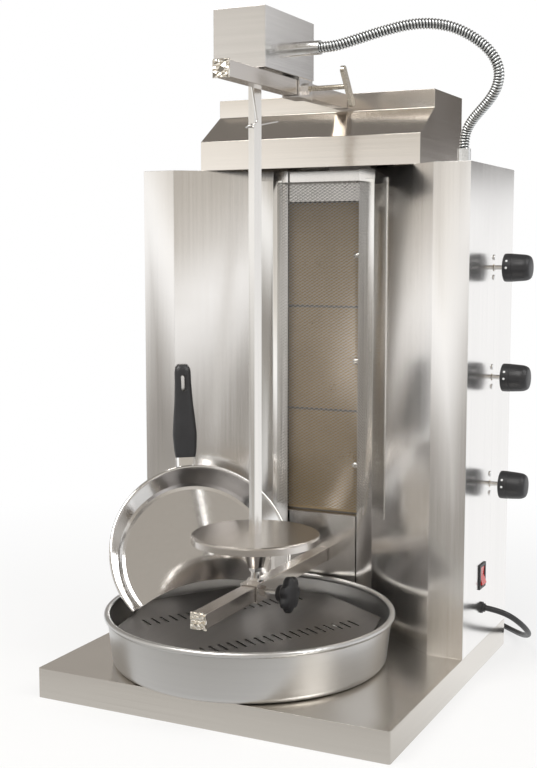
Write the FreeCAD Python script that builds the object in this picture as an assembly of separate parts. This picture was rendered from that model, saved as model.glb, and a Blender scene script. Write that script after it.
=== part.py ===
"""Gas doner kebab grill. Millimetres, +X to the right, +Y to the back, +Z up.

The origin is the centre of the base's flat underside. The base is symmetrical about
X = 0 and Y = 0, and the burners look towards -Y.
"""
import FreeCAD, Part
import math
import os

V = FreeCAD.Vector
X_AXIS = V(1, 0, 0)
Y_AXIS = V(0, 1, 0)
Z_AXIS = V(0, 0, 1)

# Running, sliding and seating clearances
RUN = 0.05
SLIDE = 0.5
SEAT = 0.3
HOLE_GAP = 0.3

# Base
BASE_W = 500.0
BASE_D = 496.0
BASE_H = 40.0
BASE_T = 1.5
BASE_RADIUS = 3.0
BOTTOM_T = 1.5

# Cabinets beside the burners
CAB_T = 1.2
CAB_H = 671.5
CAB_FRONT_Y = 32.0
CAB_STRIP_W = 50.6
CAB_INNER_X = 81.05
CAB_INNER_Y = 123.4
CAB_OPEN_X = 56.6
CAB_FLANGE = 14.0
BACK_T = 1.2
VENT_LENGTH = 60.0
VENT_WIDTH = 5.0
VENT_PITCH = 18.0
VENT_COUNT = 6
VENT_FROM_SIDE = 100.0
VENT_BELOW_TOP = 60.0

# Burners and their housing
CERAMIC_W = 122.0
CERAMIC_H = 151.0
CERAMIC_T = 12.0
BURNER_PITCH = 154.5
BURNER_COUNT = 3
BURNER_FRONT_Y = 137.0
BURNER_D = 43.0
BURNER_RIM = 1.75
BURNER_WALL = 4.0
BURNER_Z0 = 203.0
HOUSING_T = 1.2
HOUSING_FLANGE = 15.0
MIX_R = 15.0
MIX_WALL = 2.0
MIX_LENGTH = 54.0
MIX_Y = 160.0
TOP_PLATE_Y = 127.0
PANEL_Y = 125.5
PANEL_HALF_W = 54.0
PANEL_T = 1.2
PANEL_LIP = 10.0

# Mesh guard in front of the plaques, and the corner reflectors
GUARD_HALF_W = 65.0
GUARD_FRONT_Y = 103.0
GUARD_T = 1.0
GUARD_Z0 = 216.0
GUARD_Z1 = 694.0
GUARD_COLUMNS = 6
GUARD_ROWS = 24
REFLECTOR_T = 1.0
REFLECTOR_GAP = 1.2
REFLECTOR_LEG = 34.7
REFLECTOR_Z0 = 206.0
REFLECTOR_Z1 = 698.0
TC_R = 5.5
TC_Y = 130.6
TC_REACH = 19.0
TC_STUD_R = 4.0
TC_STUD = 16.0
TC_RISE = 75.5

# Hood
HOOD_HALF_W = 169.5
HOOD_T = 1.0
HOOD_BAND_Y = 62.0
HOOD_BAND_H = 41.7
HOOD_FOLD_Y = 121.5
HOOD_SLOPE_H = 39.8
HOOD_TOP_H = 25.5
HOOD_BACK_GAP = 0.5

# Rail, arm and the upright that carries them
TUBE = 20.0
TUBE_T = 2.0
RAIL_X = 28.6
RAIL_FRONT_Y = -242.0
ARM_FRONT_Y = -254.0
ARM_Z = 140.0
CAP_W = 22.0
CAP_T = 3.0
POST_W = 68.0
POST_D = 30.0
POST_T = 2.0
POST_X = 14.0
POST_Y = 192.0

# Spit
SPIT_Y = -98.0
BAR = 12.0
DISC_R = 86.7
DISC_TOP = 218.0
DISC_T = 1.5
DISC_RIM = 11.0
BOSS_R = 24.0
BOSS_NECK_R = 11.0
BOSS_H = 46.0
NECK_R = 6.5
NECK_TOP = 166.0
BEARING_PIN_R = 4.0
BEARING_PIN_H = 24.0
WASHER_R = 11.0
WASHER_T = 3.0
BAR_IN_BOX = 16.0
PIN_R = 1.25
PIN_HOLE_R = 2.7
PIN_BELOW_BOX = 65.0
SPIT_TURN = -25.0

# Sleeves on the rail and on the arm
SLEEVE = 25.0
SLEEVE_T = 2.0
RAIL_SLEEVE_Y0 = -50.0
RAIL_SLEEVE_L = 42.0
ARM_SLEEVE_L = 40.0

# Motor box
BOX_X0 = -29.5
BOX_W = 72.5
BOX_Y0 = -155.0
BOX_D = 147.0
BOX_H = 74.5
BOX_T = 1.2
TRAY_WALL = 12.0
SOCKET_R = 11.0
SOCKET_DROP = 6.0
SOCKET_H = 24.0
SHAFT_R = 6.0
GEAR_RISE = 25.0
GEAR_T = 8.0
GEAR_TEETH = 40
PINION_TEETH = 12
MODULE = 1.0
PLATE_GAP = 4.0
PLATE_T = 3.0
MOTOR_R = 17.0
MOTOR_H = 30.0

# Clamp screws
SCREW_R = 4.0
PAD_T = 2.0
TOP_NUT_T = 6.0
TOP_NUT_AF = 13.0
T_ROD_R = 3.25
T_ROD_END = 98.0
T_BAR_L = 59.0
T_BAR_W = 11.0
T_BAR_T = 5.0
T_BAR_TILT = 37.0
KNOB_NUT_T = 4.5
STAR_R = 25.0
STAR_T = 12.0
STAR_LOBES = 7
STAR_HUB_R = 11.0
STAR_HUB_X = 33.0
STAR_FACE_X = 45.0

# Motor cable cover
ADAPTOR_R = 9.0
ADAPTOR_L = 30.0
ADAPTOR_Y = -54.0
ADAPTOR_RISE = 35.5
ADAPTOR_STUB_R = 7.0
HOSE_R = 7.0
HOSE_BORE_R = 4.5
HOSE_GROOVE = 0.8
HOSE_RIB_PITCH = 4.0
FERRULE_REACH = 25.0
FERRULE_Y = 82.0
FERRULE_H = 19.5
HOSE_ROUTE = [(110, -50.5, 860), (132, -45, 866.5), (156, -37, 873.4), (182, -27, 880), (207, -14.5, 882),
              (231, 0, 878.5), (253, 10.5, 867.5), (271, 17.5, 853.5), (282, 25, 838), (285.3, 33.5, 822),
              (280.5, 42.5, 806), (269, 51.5, 791.5), (253.5, 61.5, 779), (237.5, 73, 767)]

# Gas controls
VALVE_Y = 150.0
VALVE_Z = [264.0, 417.0, 571.0]
VALVE_R = 11.0
VALVE_REACH = 60.0
VALVE_L = 46.0
VALVE_NECK_R = 7.0
CHAMBER_R = 6.5
CHAMBER_REACH = 45.0
STEM_R = 3.35
STEM_REACH = 37.0
PLUNGER_R = 6.2
PLUNGER_REACH = 28.0
PLUNGER_T = 8.0
KNOB_OUT = 16.0
KNOB_L = 38.0
KNOB_R0 = 19.7
KNOB_R1 = 17.3
KNOB_BORE = 24.0
PUSH = 4.0
MANIFOLD_R = 8.0
MANIFOLD_REACH = 40.0
MANIFOLD_Y = 178.0
MANIFOLD_Z0 = 120.0
MANIFOLD_TOP = 20.0
INLET_R = 10.48
INLET_OUT = 18.0
INLET_RELIEF_R = 10.0
INLET_RELIEF = 1.0
PIPE_R = 4.0
JET_R = 7.0
JET_T = 14.0

# The half width and the height of the box's floor that the two routes below are drawn for
ROUTE_HALF_W = 250.0
ROUTE_BOX_Z0 = 820.0

# Switch, gland and mains cord
SWITCH_Y = 118.0
SWITCH_Z = 137.0
SWITCH_W = 26.0
SWITCH_H = 32.0
SWITCH_RIM = 1.5
SWITCH_RIM_T = 2.0
SWITCH_DEPTH = 22.0
ROCKER_W = 19.0
ROCKER_H = 25.0
ROCKER_PIN_R = 2.0
ROCKER_TILT = 8.0
GLAND_Y = 118.0
GLAND_Z = 91.0
GLAND_R = 8.0
GLAND_LENGTH = 6.0
GLAND_STUB_R = 6.0
CORD_R = 4.0
CORD_ROUTE = [(256, 118, 91), (274.5, 118, 89.1), (291.5, 123, 82), (302, 134, 70.5), (306, 150, 59),
              (305, 169, 48.5), (301, 192, 38), (292.5, 221, 26.5), (279, 252, 15.5), (262, 281, 8.8),
              (241, 307, 5.6), (216, 331, 5.2), (188, 353, 5.2), (158, 373, 5.2), (129, 383, 5.2),
              (100, 383, 5.2)]
COIL_X = 100.0
COIL_Y = 325.0
COIL_Z = 5.2
COIL_R_OUT = 58.0
COIL_R_IN = 32.0
COIL_TURNS = 2
COIL_LAYER = 9.4
TIE_W = 9.0
TIE_T = 0.9
PLUG_L = 46.0
PLUG_W = 30.0
PLUG_H = 29.0
PLUG_TAIL = 46.0
PLUG_PIN_R = 2.4
PLUG_PIN_L = 19.0
PLUG_PIN_PITCH = 19.0

# Drip tray and slotted plate
PAN_X = -17.5
PAN_Y = -80.5
PAN_R = 187.7
PAN_T = 1.0
PAN_RIM_R = 194.3
PAN_BEAD = 4.0
PAN_H = 66.0
PAN_CORNER = 10.0
PLATE_R = 184.0
PLATE_TOP = 87.0
PLATE_SHEET = 1.5
PLATE_TURN = 33.8
PLATE_LEG_W = 40.0
SLOT_L = 27.0
SLOT_W = 4.0
SLOT_PITCH = 13.5
SLOT_COUNT = 19
SLOT_ROW = 73.0

# Scoop: a pan with one side cut out, leaning in the drip tray
SCOOP_C = V(-120.5, -31.8, 163.1)
SCOOP_R = 129.5
SCOOP_FLOOR_R = 113.0
SCOOP_DEPTH = 38.0
SCOOP_T = 1.0
SCOOP_BEAD = 2.6
SCOOP_AZIMUTH = -51.1
SCOOP_LEAN = 27.3
SCOOP_CUT_LEFT = 217.2
SCOOP_CUT_RIGHT = 335.2
SCOOP_CUT_RISE = 33.0
SCOOP_HANDLE_ANGLE = 94.6
GRIP_FROM_SIDE = 63.2
GRIP_END_Y = 32.7
GRIP_END_Z = 422.4
GRIP_L = 137.0
GRIP_W0 = 36.0
GRIP_W1 = 25.0
GRIP_T0 = 20.0
GRIP_T1 = 14.0
TANG_L = 17.5
TANG_DROP = 10.0
TANG_BITE = 5.5
TANG_W = 27.0
TANG_T = 12.0

# Screws
SCREW_HEAD_R = 4.0
SCREW_HEAD_T = 1.6
SCREW_SHANK_R = 1.8

# Worked out from the sizes above
HALF_W = BASE_W / 2
HALF_D = BASE_D / 2
CAB_TOP = BASE_H + CAB_H
BACK_Y = HALF_D - BACK_T
STRIP_X = HALF_W - CAB_STRIP_W
BURNER_TOP = BURNER_Z0 + BURNER_COUNT * BURNER_PITCH
BURNER_HALF = CERAMIC_W / 2 + 2.0
HOUSING_HALF = BURNER_HALF + 1.5
HOUSING_BACK = BURNER_FRONT_Y + BURNER_D + 1.0
HOOD_Z1 = CAB_TOP + HOOD_BAND_H
HOOD_Z2 = HOOD_Z1 + HOOD_SLOPE_H
HOOD_TOP = HOOD_Z2 + HOOD_TOP_H
RAIL_Z = HOOD_TOP - HOOD_T - TUBE / 2
SLEEVE_TOP = RAIL_Z + SLEEVE / 2
RAIL_SLEEVE_Y = RAIL_SLEEVE_Y0 + RAIL_SLEEVE_L / 2
ARM_SLEEVE_TOP = ARM_Z + SLEEVE / 2
BOX_Z0 = SLEEVE_TOP
BOX_X1 = BOX_X0 + BOX_W
BOX_TOP = BOX_Z0 + BOX_H
SIDE_SHIFT = HALF_W - ROUTE_HALF_W
VALVE_X0 = HALF_W - VALVE_REACH
VALVE_X1 = VALVE_X0 + VALVE_L
CHAMBER_X0 = HALF_W - CHAMBER_REACH
STEM_X0 = HALF_W - STEM_REACH
PLUNGER_X0 = HALF_W - PLUNGER_REACH
KNOB_X0 = HALF_W + KNOB_OUT
MANIFOLD_X = HALF_W - MANIFOLD_REACH
FERRULE_X = HALF_W - FERRULE_REACH
GEAR_Z = BOX_Z0 + GEAR_RISE
PLATE_Z = GEAR_Z + GEAR_T + PLATE_GAP
BAR_TOP = BOX_Z0 + BAR_IN_BOX
PIN_Z = BOX_Z0 - PIN_BELOW_BOX
ADAPTOR_Z = BOX_Z0 + ADAPTOR_RISE
COIL_MID_X = COIL_X + SIDE_SHIFT
GEAR_R = GEAR_TEETH * MODULE / 2
PINION_R = PINION_TEETH * MODULE / 2
PINION_Y = SPIT_Y + GEAR_R + PINION_R
COIL_SPAN = 2 * COIL_TURNS + 0.5


def box(x0, x1, y0, y1, z0, z1):
    return Part.makeBox(x1 - x0, y1 - y0, z1 - z0, V(x0, y0, z0))


def rod(radius, length, start, axis):
    return Part.makeCylinder(radius, length, V(*start), axis)


def ring(outer, inner, length, start, axis):
    return rod(outer, length, start, axis).cut(rod(inner, length, start, axis))


def prism(points, height):
    """A straight prism over a closed polygon, whose points are (x, y) or (x, y, z)."""
    corners = [V(*p) for p in points]
    face = Part.Face(Part.makePolygon(corners + [corners[0]]))
    return face.extrude(height)


def offset_line(points, t):
    """The open polyline moved to its left by t, with mitred corners, in the XY plane."""
    normals = []
    for a, b in zip(points, points[1:]):
        length = math.hypot(b[0] - a[0], b[1] - a[1])
        normals.append((-(b[1] - a[1]) / length, (b[0] - a[0]) / length))
    moved = []
    for i, (x, y) in enumerate(points):
        n0 = normals[max(i - 1, 0)]
        n1 = normals[min(i, len(normals) - 1)]
        scale = t / (1 + n0[0] * n1[0] + n0[1] * n1[1])
        moved.append((x + (n0[0] + n1[0]) * scale, y + (n0[1] + n1[1]) * scale))
    return moved


def folded_sheet(points, t, z0, z1):
    """A sheet of thickness t, folded along upright lines, standing left of the polyline."""
    outline = list(points) + offset_line(points, t)[::-1]
    return prism([(x, y, z0) for x, y in outline], V(0, 0, z1 - z0))


def square_tube(size, wall, start, length, axis):
    """A square tube along Y or Z, centred on its start point across its length."""
    def bar(width):
        x, y, z = start
        if axis == Y_AXIS:
            return Part.makeBox(width, length, width, V(x - width / 2, y, z - width / 2))
        return Part.makeBox(width, width, length, V(x - width / 2, y - width / 2, z))
    return bar(size).cut(bar(size - 2 * wall))


def revolve(profile, centre=V(0, 0, 0), axis=Z_AXIS):
    """A solid of revolution about the Z axis through the centre, from (r, z) points."""
    face = Part.Face(Part.makePolygon([V(r, 0, z) for r, z in profile + [profile[0]]]))
    solid = face.revolve(V(0, 0, 0), Z_AXIS, 360)
    solid.Placement = FreeCAD.Placement(centre, FreeCAD.Rotation(Z_AXIS, axis))
    return solid


def mirrored(shape):
    return shape.mirror(V(0, 0, 0), X_AXIS)


def hexagon(across_flats, length, start, axis):
    """A hexagonal bar from its start point along its axis."""
    radius = across_flats / 2 / math.cos(math.pi / 6)
    points = []
    for i in range(6):
        angle = math.radians(60 * i)
        points.append((radius * math.cos(angle), radius * math.sin(angle), 0))
    solid = prism(points, V(0, 0, length))
    solid.Placement = FreeCAD.Placement(V(*start), FreeCAD.Rotation(Z_AXIS, axis))
    return solid


def arc_between(start, corner, end):
    """The circular arc from start to end whose end tangents meet in the corner."""
    half = (end - start).Length / 2 / (corner - start).Length
    middle = (start + corner * (2 * half) + end) * (1 / (2 + 2 * half))
    return Part.Arc(start, middle, end).toShape()


def rounded_route(route):
    """Straight runs joined by tangent arcs, each as large as its two runs allow."""
    points = [V(*p) for p in route]
    edges = []
    radii = []
    at = points[0]
    for before, corner, after in zip(points, points[1:], points[2:]):
        run = 0.45 * min((corner - before).Length, (after - corner).Length)
        into = (corner - before).normalize()
        out = (after - corner).normalize()
        radii.append(run / math.tan(into.getAngle(out) / 2))
        edges.append(Part.LineSegment(at, corner - into * run).toShape())
        edges.append(arc_between(corner - into * run, corner, corner + out * run))
        at = corner + out * run
    edges.append(Part.LineSegment(at, points[-1]).toShape())
    return Part.Wire(edges), radii


def pipe_along(wire, radius):
    """A round bar swept along a smooth wire."""
    first = wire.Edges[0]
    start = first.valueAt(first.FirstParameter)
    heading = first.tangentAt(first.FirstParameter)
    circle = Part.Wire(Part.Circle(start, heading, radius).toShape())
    return wire.makePipeShell([circle], True, False)


def tube_along(route, radius, name):
    wire, radii = rounded_route(route)
    solid = pipe_along(wire, radius)
    share = solid.Volume / (math.pi * radius * radius * wire.Length)
    print(name, "length %.0f" % wire.Length, "least radius %.1f" % min(radii), "volume share %.4f" % share)
    return solid


def base_tray():
    body = box(-HALF_W, HALF_W, -HALF_D, HALF_D, 0, BASE_H)
    upright = [e for e in body.Edges if abs(e.tangentAt(e.FirstParameter).z) > 0.9]
    body = body.makeFillet(BASE_RADIUS, upright)
    hollow = box(-HALF_W + BASE_T, HALF_W - BASE_T, -HALF_D + BASE_T, HALF_D - BASE_T, 0, BASE_H - BASE_T)
    return body.cut(hollow)


def base_bottom():
    gap = BASE_T + HOLE_GAP
    return box(-HALF_W + gap, HALF_W - gap, -HALF_D + gap, HALF_D - gap, 0, BOTTOM_T)


def left_cabinet():
    """The wall, the front strip, the angled panel, the inner strip and the top."""
    line = [(-HALF_W + CAB_FLANGE, BACK_Y), (-HALF_W, BACK_Y), (-HALF_W, CAB_FRONT_Y), (-STRIP_X, CAB_FRONT_Y),
            (-CAB_INNER_X, CAB_INNER_Y), (-CAB_OPEN_X, CAB_INNER_Y)]
    walls = folded_sheet(line, CAB_T, BASE_H, CAB_TOP)
    outline = [(x, y, CAB_TOP - CAB_T) for x, y in line[1:]] + [(-CAB_OPEN_X, BACK_Y, CAB_TOP - CAB_T)]
    return walls.fuse(prism(outline, V(0, 0, CAB_T))).removeSplitter()


def right_cabinet():
    body = mirrored(left_cabinet())
    x = HALF_W - 2 * CAB_T
    for z in VALVE_Z:
        body = body.cut(rod(STEM_R + 1.5, 4 * CAB_T, (x, VALVE_Y, z), X_AXIS))
    w = SWITCH_W / 2 + SEAT
    h = SWITCH_H / 2 + SEAT
    body = body.cut(box(x, HALF_W + 1, SWITCH_Y - w, SWITCH_Y + w, SWITCH_Z - h, SWITCH_Z + h))
    body = body.cut(rod(GLAND_STUB_R + HOLE_GAP, 4 * CAB_T, (x, GLAND_Y, GLAND_Z), X_AXIS))
    stub = (FERRULE_X, FERRULE_Y, CAB_TOP - 2 * CAB_T)
    return body.cut(rod(ADAPTOR_STUB_R + HOLE_GAP, 4 * CAB_T, stub, Z_AXIS))


def rear_cover():
    sheet = box(-HALF_W, HALF_W, BACK_Y, HALF_D, BASE_H, CAB_TOP)
    for side in (-1, 1):
        for i in range(VENT_COUNT):
            z = CAB_TOP - VENT_BELOW_TOP - i * VENT_PITCH
            x = side * (HALF_W - VENT_FROM_SIDE)
            sheet = sheet.cut(box(x - VENT_LENGTH / 2, x + VENT_LENGTH / 2, BACK_Y, HALF_D, z, z + VENT_WIDTH))
    inlet = (MANIFOLD_X, BACK_Y - 1, MANIFOLD_Z0)
    return sheet.cut(rod(INLET_R + HOLE_GAP, BACK_T + 2, inlet, Y_AXIS))


def burner_housing():
    front = CAB_INNER_Y + CAB_T
    line = [(-HOUSING_HALF - HOUSING_FLANGE, front), (-HOUSING_HALF, front), (-HOUSING_HALF, HOUSING_BACK),
            (HOUSING_HALF, HOUSING_BACK), (HOUSING_HALF, front), (HOUSING_HALF + HOUSING_FLANGE, front)]
    body = folded_sheet(line, HOUSING_T, BURNER_Z0, CAB_TOP - CAB_T)
    floor = box(-HOUSING_HALF, HOUSING_HALF, front, HOUSING_BACK, BURNER_Z0 - HOUSING_T, BURNER_Z0)
    body = body.fuse(floor).removeSplitter()
    for i, z in enumerate(VALVE_Z):
        body = body.cut(rod(MIX_R + HOLE_GAP, 20, (HOUSING_HALF - 10, MIX_Y, z), X_AXIS))
        hole = (HOUSING_HALF - 10, TC_Y, thermocouple_z(i))
        body = body.cut(rod(TC_STUD_R + 0.1, 20, hole, X_AXIS))
    return body


def lower_front_panel():
    """The narrow panel under the burners, with its side returns and its bent top lip."""
    side = 25.0
    line = [(-PANEL_HALF_W, PANEL_Y + side), (-PANEL_HALF_W, PANEL_Y), (PANEL_HALF_W, PANEL_Y),
            (PANEL_HALF_W, PANEL_Y + side)]
    top = BURNER_Z0 - HOUSING_T - PANEL_T
    body = folded_sheet(line, PANEL_T, BASE_H, top)
    lip = box(-PANEL_HALF_W, PANEL_HALF_W, PANEL_Y, PANEL_Y + PANEL_LIP, top, top + PANEL_T)
    body = body.fuse(lip).removeSplitter()
    hole = TUBE / 2 + HOLE_GAP
    return body.cut(box(-hole, hole, PANEL_Y - 1, PANEL_Y + 5, ARM_Z - hole, ARM_Z + hole))


def burner_top_plate():
    """The plain plate over the plaques, between the housing's walls."""
    return box(-HOUSING_HALF, HOUSING_HALF, TOP_PLATE_Y, TOP_PLATE_Y + HOUSING_T, BURNER_TOP, CAB_TOP - CAB_T)


def burner_z(i):
    return BURNER_Z0 + i * BURNER_PITCH


def thermocouple_z(i):
    return burner_z(i) + TC_RISE


def burners():
    """Cast boxes open to the front, each with a mixing tube to the right."""
    bodies = []
    half = BURNER_HALF
    rim = BURNER_RIM - HOLE_GAP
    for i, tube_z in enumerate(VALVE_Z):
        z0 = burner_z(i)
        z1 = z0 + BURNER_PITCH
        y0 = BURNER_FRONT_Y
        y1 = y0 + BURNER_D
        body = box(-half, half, y0, y1, z0, z1)
        body = body.fuse(rod(MIX_R, MIX_LENGTH, (half, MIX_Y, tube_z), X_AXIS))
        pocket_x = CERAMIC_W / 2 + HOLE_GAP
        body = body.cut(box(-pocket_x, pocket_x, y0, y0 + CERAMIC_T, z0 + rim, z1 - rim))
        w = BURNER_WALL
        body = body.cut(box(-half + w, half - w, y0, y1 - w, z0 + w, z1 - w))
        body = body.cut(rod(MIX_R - MIX_WALL, MIX_LENGTH, (half - w, MIX_Y, tube_z), X_AXIS))
        end = half + MIX_LENGTH
        body = body.cut(rod(JET_R / 2 + RUN, 10, (end - 6, MIX_Y, tube_z), X_AXIS))
        for side in (-1, 1):
            body = body.cut(rod(3.0, 10, (end - 6, MIX_Y + side * 8, tube_z), X_AXIS))
        bodies.append(body)
    return Part.Compound(bodies)


def ceramic_plaques():
    half = CERAMIC_W / 2
    gap = (BURNER_PITCH - CERAMIC_H) / 2
    y = BURNER_FRONT_Y
    tiles = []
    for i in range(BURNER_COUNT):
        z = burner_z(i)
        tiles.append(box(-half, half, y, y + CERAMIC_T, z + gap, z + gap + CERAMIC_H))
    return Part.Compound(tiles)


def holed_face(origin, across, up, width, height, columns, rows):
    """A flat face with rows of diamond holes, in every second row shifted by half a hole."""
    def at(a, b):
        return origin + across * a + up * b

    def loop(points):
        corners = [at(a, b) for a, b in points]
        return Part.makePolygon(corners + [corners[0]])
    pitch_a = width / (columns + 0.5)
    pitch_b = height / (rows + 0.5)
    wires = [loop([(0, 0), (width, 0), (width, height), (0, height)])]
    for row in range(rows):
        for column in range(columns):
            a = (column + 0.5 + 0.5 * (row % 2)) * pitch_a
            b = (row + 0.75) * pitch_b
            reach_a = 0.38 * pitch_a
            reach_b = 0.62 * pitch_b
            wires.append(loop([(a - reach_a, b), (a, b - reach_b), (a + reach_a, b), (a, b + reach_b)]))
    return Part.makeFace(wires, "Part::FaceMakerBullseye")


def mesh_guard():
    """An expanded metal box, open to the back, standing on the inner strips."""
    height = GUARD_Z1 - GUARD_Z0
    depth = CAB_INNER_Y - GUARD_FRONT_Y
    start = V(-GUARD_HALF_W, GUARD_FRONT_Y, GUARD_Z0)
    front = holed_face(start, X_AXIS, Z_AXIS, 2 * GUARD_HALF_W, height, GUARD_COLUMNS, GUARD_ROWS)
    body = front.extrude(V(0, GUARD_T, 0))
    for x in (-GUARD_HALF_W, GUARD_HALF_W - GUARD_T):
        side = holed_face(V(x, GUARD_FRONT_Y, GUARD_Z0), Y_AXIS, Z_AXIS, depth, height, 1, GUARD_ROWS)
        body = body.fuse(side.extrude(V(GUARD_T, 0, 0)))
    for z in (GUARD_Z0, GUARD_Z1 - GUARD_T):
        body = body.fuse(box(-GUARD_HALF_W, GUARD_HALF_W, GUARD_FRONT_Y, CAB_INNER_Y, z, z + GUARD_T))
    return body


def corner_reflectors():
    """Bent strips on the corners between the angled panels and the inner strips."""
    length = math.hypot(STRIP_X - CAB_INNER_X, CAB_INNER_Y - CAB_FRONT_Y)
    along = REFLECTOR_LEG / length
    end = (CAB_INNER_X + along * (STRIP_X - CAB_INNER_X), CAB_INNER_Y - along * (CAB_INNER_Y - CAB_FRONT_Y))
    line = [end, (CAB_INNER_X, CAB_INNER_Y), (GUARD_HALF_W + REFLECTOR_GAP, CAB_INNER_Y)]
    right = folded_sheet(line, REFLECTOR_T, REFLECTOR_Z0, REFLECTOR_Z1)
    return Part.Compound([right, mirrored(right)])


def thermocouples():
    tips = []
    for i in range(BURNER_COUNT):
        z = thermocouple_z(i)
        x = HOUSING_HALF - TC_REACH + TC_R
        tip = rod(TC_R, HOUSING_HALF - x, (x, TC_Y, z), X_AXIS)
        tip = tip.fuse(Part.makeSphere(TC_R, V(x, TC_Y, z)))
        tips.append(tip.fuse(rod(TC_STUD_R, TC_STUD, (HOUSING_HALF, TC_Y, z), X_AXIS)))
    return Part.Compound(tips)


def hood():
    """A closed box with two bands and a sloped panel between them, open below."""
    back = HALF_D - HOOD_BACK_GAP

    line = [(HOOD_BAND_Y, CAB_TOP), (HOOD_BAND_Y, HOOD_Z1), (HOOD_FOLD_Y, HOOD_Z2), (HOOD_FOLD_Y, HOOD_TOP),
            (back, HOOD_TOP), (back, CAB_TOP)]
    inside = offset_line(line, -HOOD_T)
    half = HOOD_HALF_W
    body = prism([(-half, y, z) for y, z in line], V(2 * half, 0, 0))
    half -= HOOD_T
    body = body.cut(prism([(-half, y, z) for y, z in inside], V(2 * half, 0, 0)))
    hole = TUBE / 2 + HOLE_GAP
    y = HOOD_FOLD_Y - 1
    top = RAIL_Z + TUBE / 2
    return body.cut(box(RAIL_X - hole, RAIL_X + hole, y, y + 3, RAIL_Z - hole, top))


def upper_rail():
    return square_tube(TUBE, TUBE_T, (RAIL_X, RAIL_FRONT_Y, RAIL_Z), POST_Y - RAIL_FRONT_Y, Y_AXIS)


def lower_arm():
    return square_tube(TUBE, TUBE_T, (0, ARM_FRONT_Y, ARM_Z), POST_Y - ARM_FRONT_Y, Y_AXIS)


def end_caps():
    caps = []
    for x, y, z in ((RAIL_X, RAIL_FRONT_Y, RAIL_Z), (0, ARM_FRONT_Y, ARM_Z)):
        face = box(x - CAP_W / 2, x + CAP_W / 2, y - CAP_T, y, z - CAP_W / 2, z + CAP_W / 2)
        front = [e for e in face.Edges if e.BoundBox.YMax < y - CAP_T + 0.1]
        face = face.makeFillet(1.2, front)
        plug = TUBE / 2 - TUBE_T - 0.1
        caps.append(face.fuse(box(x - plug, x + plug, y, y + 12, z - plug, z + plug)))
    return Part.Compound(caps)


def rear_post():
    """The upright tube on the base that carries the rail and the arm."""
    x0 = POST_X - POST_W / 2
    x1 = POST_X + POST_W / 2
    top = RAIL_Z + TUBE / 2
    body = box(x0, x1, POST_Y, POST_Y + POST_D, BASE_H, top)
    t = POST_T
    return body.cut(box(x0 + t, x1 - t, POST_Y + t, POST_Y + POST_D - t, BASE_H, top - t))


def at_rest(shape):
    """The shape, turned about the spit's axis as the square bar stands at rest."""
    return shape.rotated(V(0, SPIT_Y, 0), Z_AXIS, SPIT_TURN)


def bar_column(half, z0, z1):
    """A square column on the spit's axis, which is the bar or a hole for it."""
    return at_rest(box(-half, half, SPIT_Y - half, SPIT_Y + half, z0, z1))


def spit_rod():
    """The square bar, with a turned neck whose bore stands on the bearing pin."""
    low = ARM_SLEEVE_TOP + WASHER_T
    body = bar_column(BAR / 2, NECK_TOP, BAR_TOP)
    body = body.fuse(rod(NECK_R, NECK_TOP - low, (0, SPIT_Y, low), Z_AXIS))
    pin_top = ARM_SLEEVE_TOP + BEARING_PIN_H
    body = body.cut(rod(BEARING_PIN_R + RUN, pin_top + 1 - low, (0, SPIT_Y, low), Z_AXIS))
    return body.cut(at_rest(rod(PIN_HOLE_R, 2 * BAR, (0, SPIT_Y - BAR, PIN_Z), Y_AXIS)))


def spit_pin():
    """A bent wire: a leg through the bar, a loop beside it and a leg up along its corner."""
    line = [(0, 38, 8), (0, -13, -2.7), (4, -17.5, -3), (9, -14, -1), (11, -4.5, 3), (4.6, -9, 52)]
    route = [(x, SPIT_Y + y, PIN_Z + z) for x, y, z in line]
    return at_rest(tube_along(route, PIN_R, "spit pin"))


def spit_disc():
    """The meat disc with its rolled-down rim and its funnel boss."""
    z = DISC_TOP
    t = DISC_T
    drop = DISC_RIM
    profile = [(0, z), (DISC_R - 3, z), (DISC_R - 0.9, z - 0.9), (DISC_R, z - 3), (DISC_R, z - drop),
               (DISC_R - t, z - drop), (DISC_R - t, z - 3), (DISC_R - 3, z - t), (BOSS_R, z - t),
               (BOSS_R - 2, z - 14), (BOSS_NECK_R + 4, z - 30), (BOSS_NECK_R, z - BOSS_H), (0, z - BOSS_H)]
    body = revolve(profile, V(0, SPIT_Y, 0))
    return body.cut(bar_column(BAR / 2 + 0.1, z - BOSS_H - 1, z + 1))


def arm_bracket():
    """The sleeve on the lower arm, with the bearing pin and the clamp nut."""
    y0 = SPIT_Y - ARM_SLEEVE_L / 2
    body = square_tube(SLEEVE, SLEEVE_T, (0, y0, ARM_Z), ARM_SLEEVE_L, Y_AXIS)
    body = body.fuse(rod(BEARING_PIN_R, BEARING_PIN_H, (0, SPIT_Y, ARM_SLEEVE_TOP), Z_AXIS))
    body = body.fuse(hexagon(TOP_NUT_AF, KNOB_NUT_T, (SLEEVE / 2, SPIT_Y, ARM_Z), X_AXIS))
    hole_x = SLEEVE / 2 - SLEEVE_T - 1
    return body.cut(rod(SCREW_R + RUN, 20, (hole_x, SPIT_Y, ARM_Z), X_AXIS))


def thrust_bearing():
    return ring(WASHER_R, BEARING_PIN_R + RUN, WASHER_T, (0, SPIT_Y, ARM_SLEEVE_TOP), Z_AXIS)


def arm_clamp_pad():
    return rod(SCREW_R, PAD_T, (TUBE / 2, SPIT_Y, ARM_Z), X_AXIS)


def knob_stud():
    x0 = TUBE / 2 + PAD_T
    return rod(SCREW_R, STAR_FACE_X - x0 + 4, (x0, SPIT_Y, ARM_Z), X_AXIS)


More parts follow.
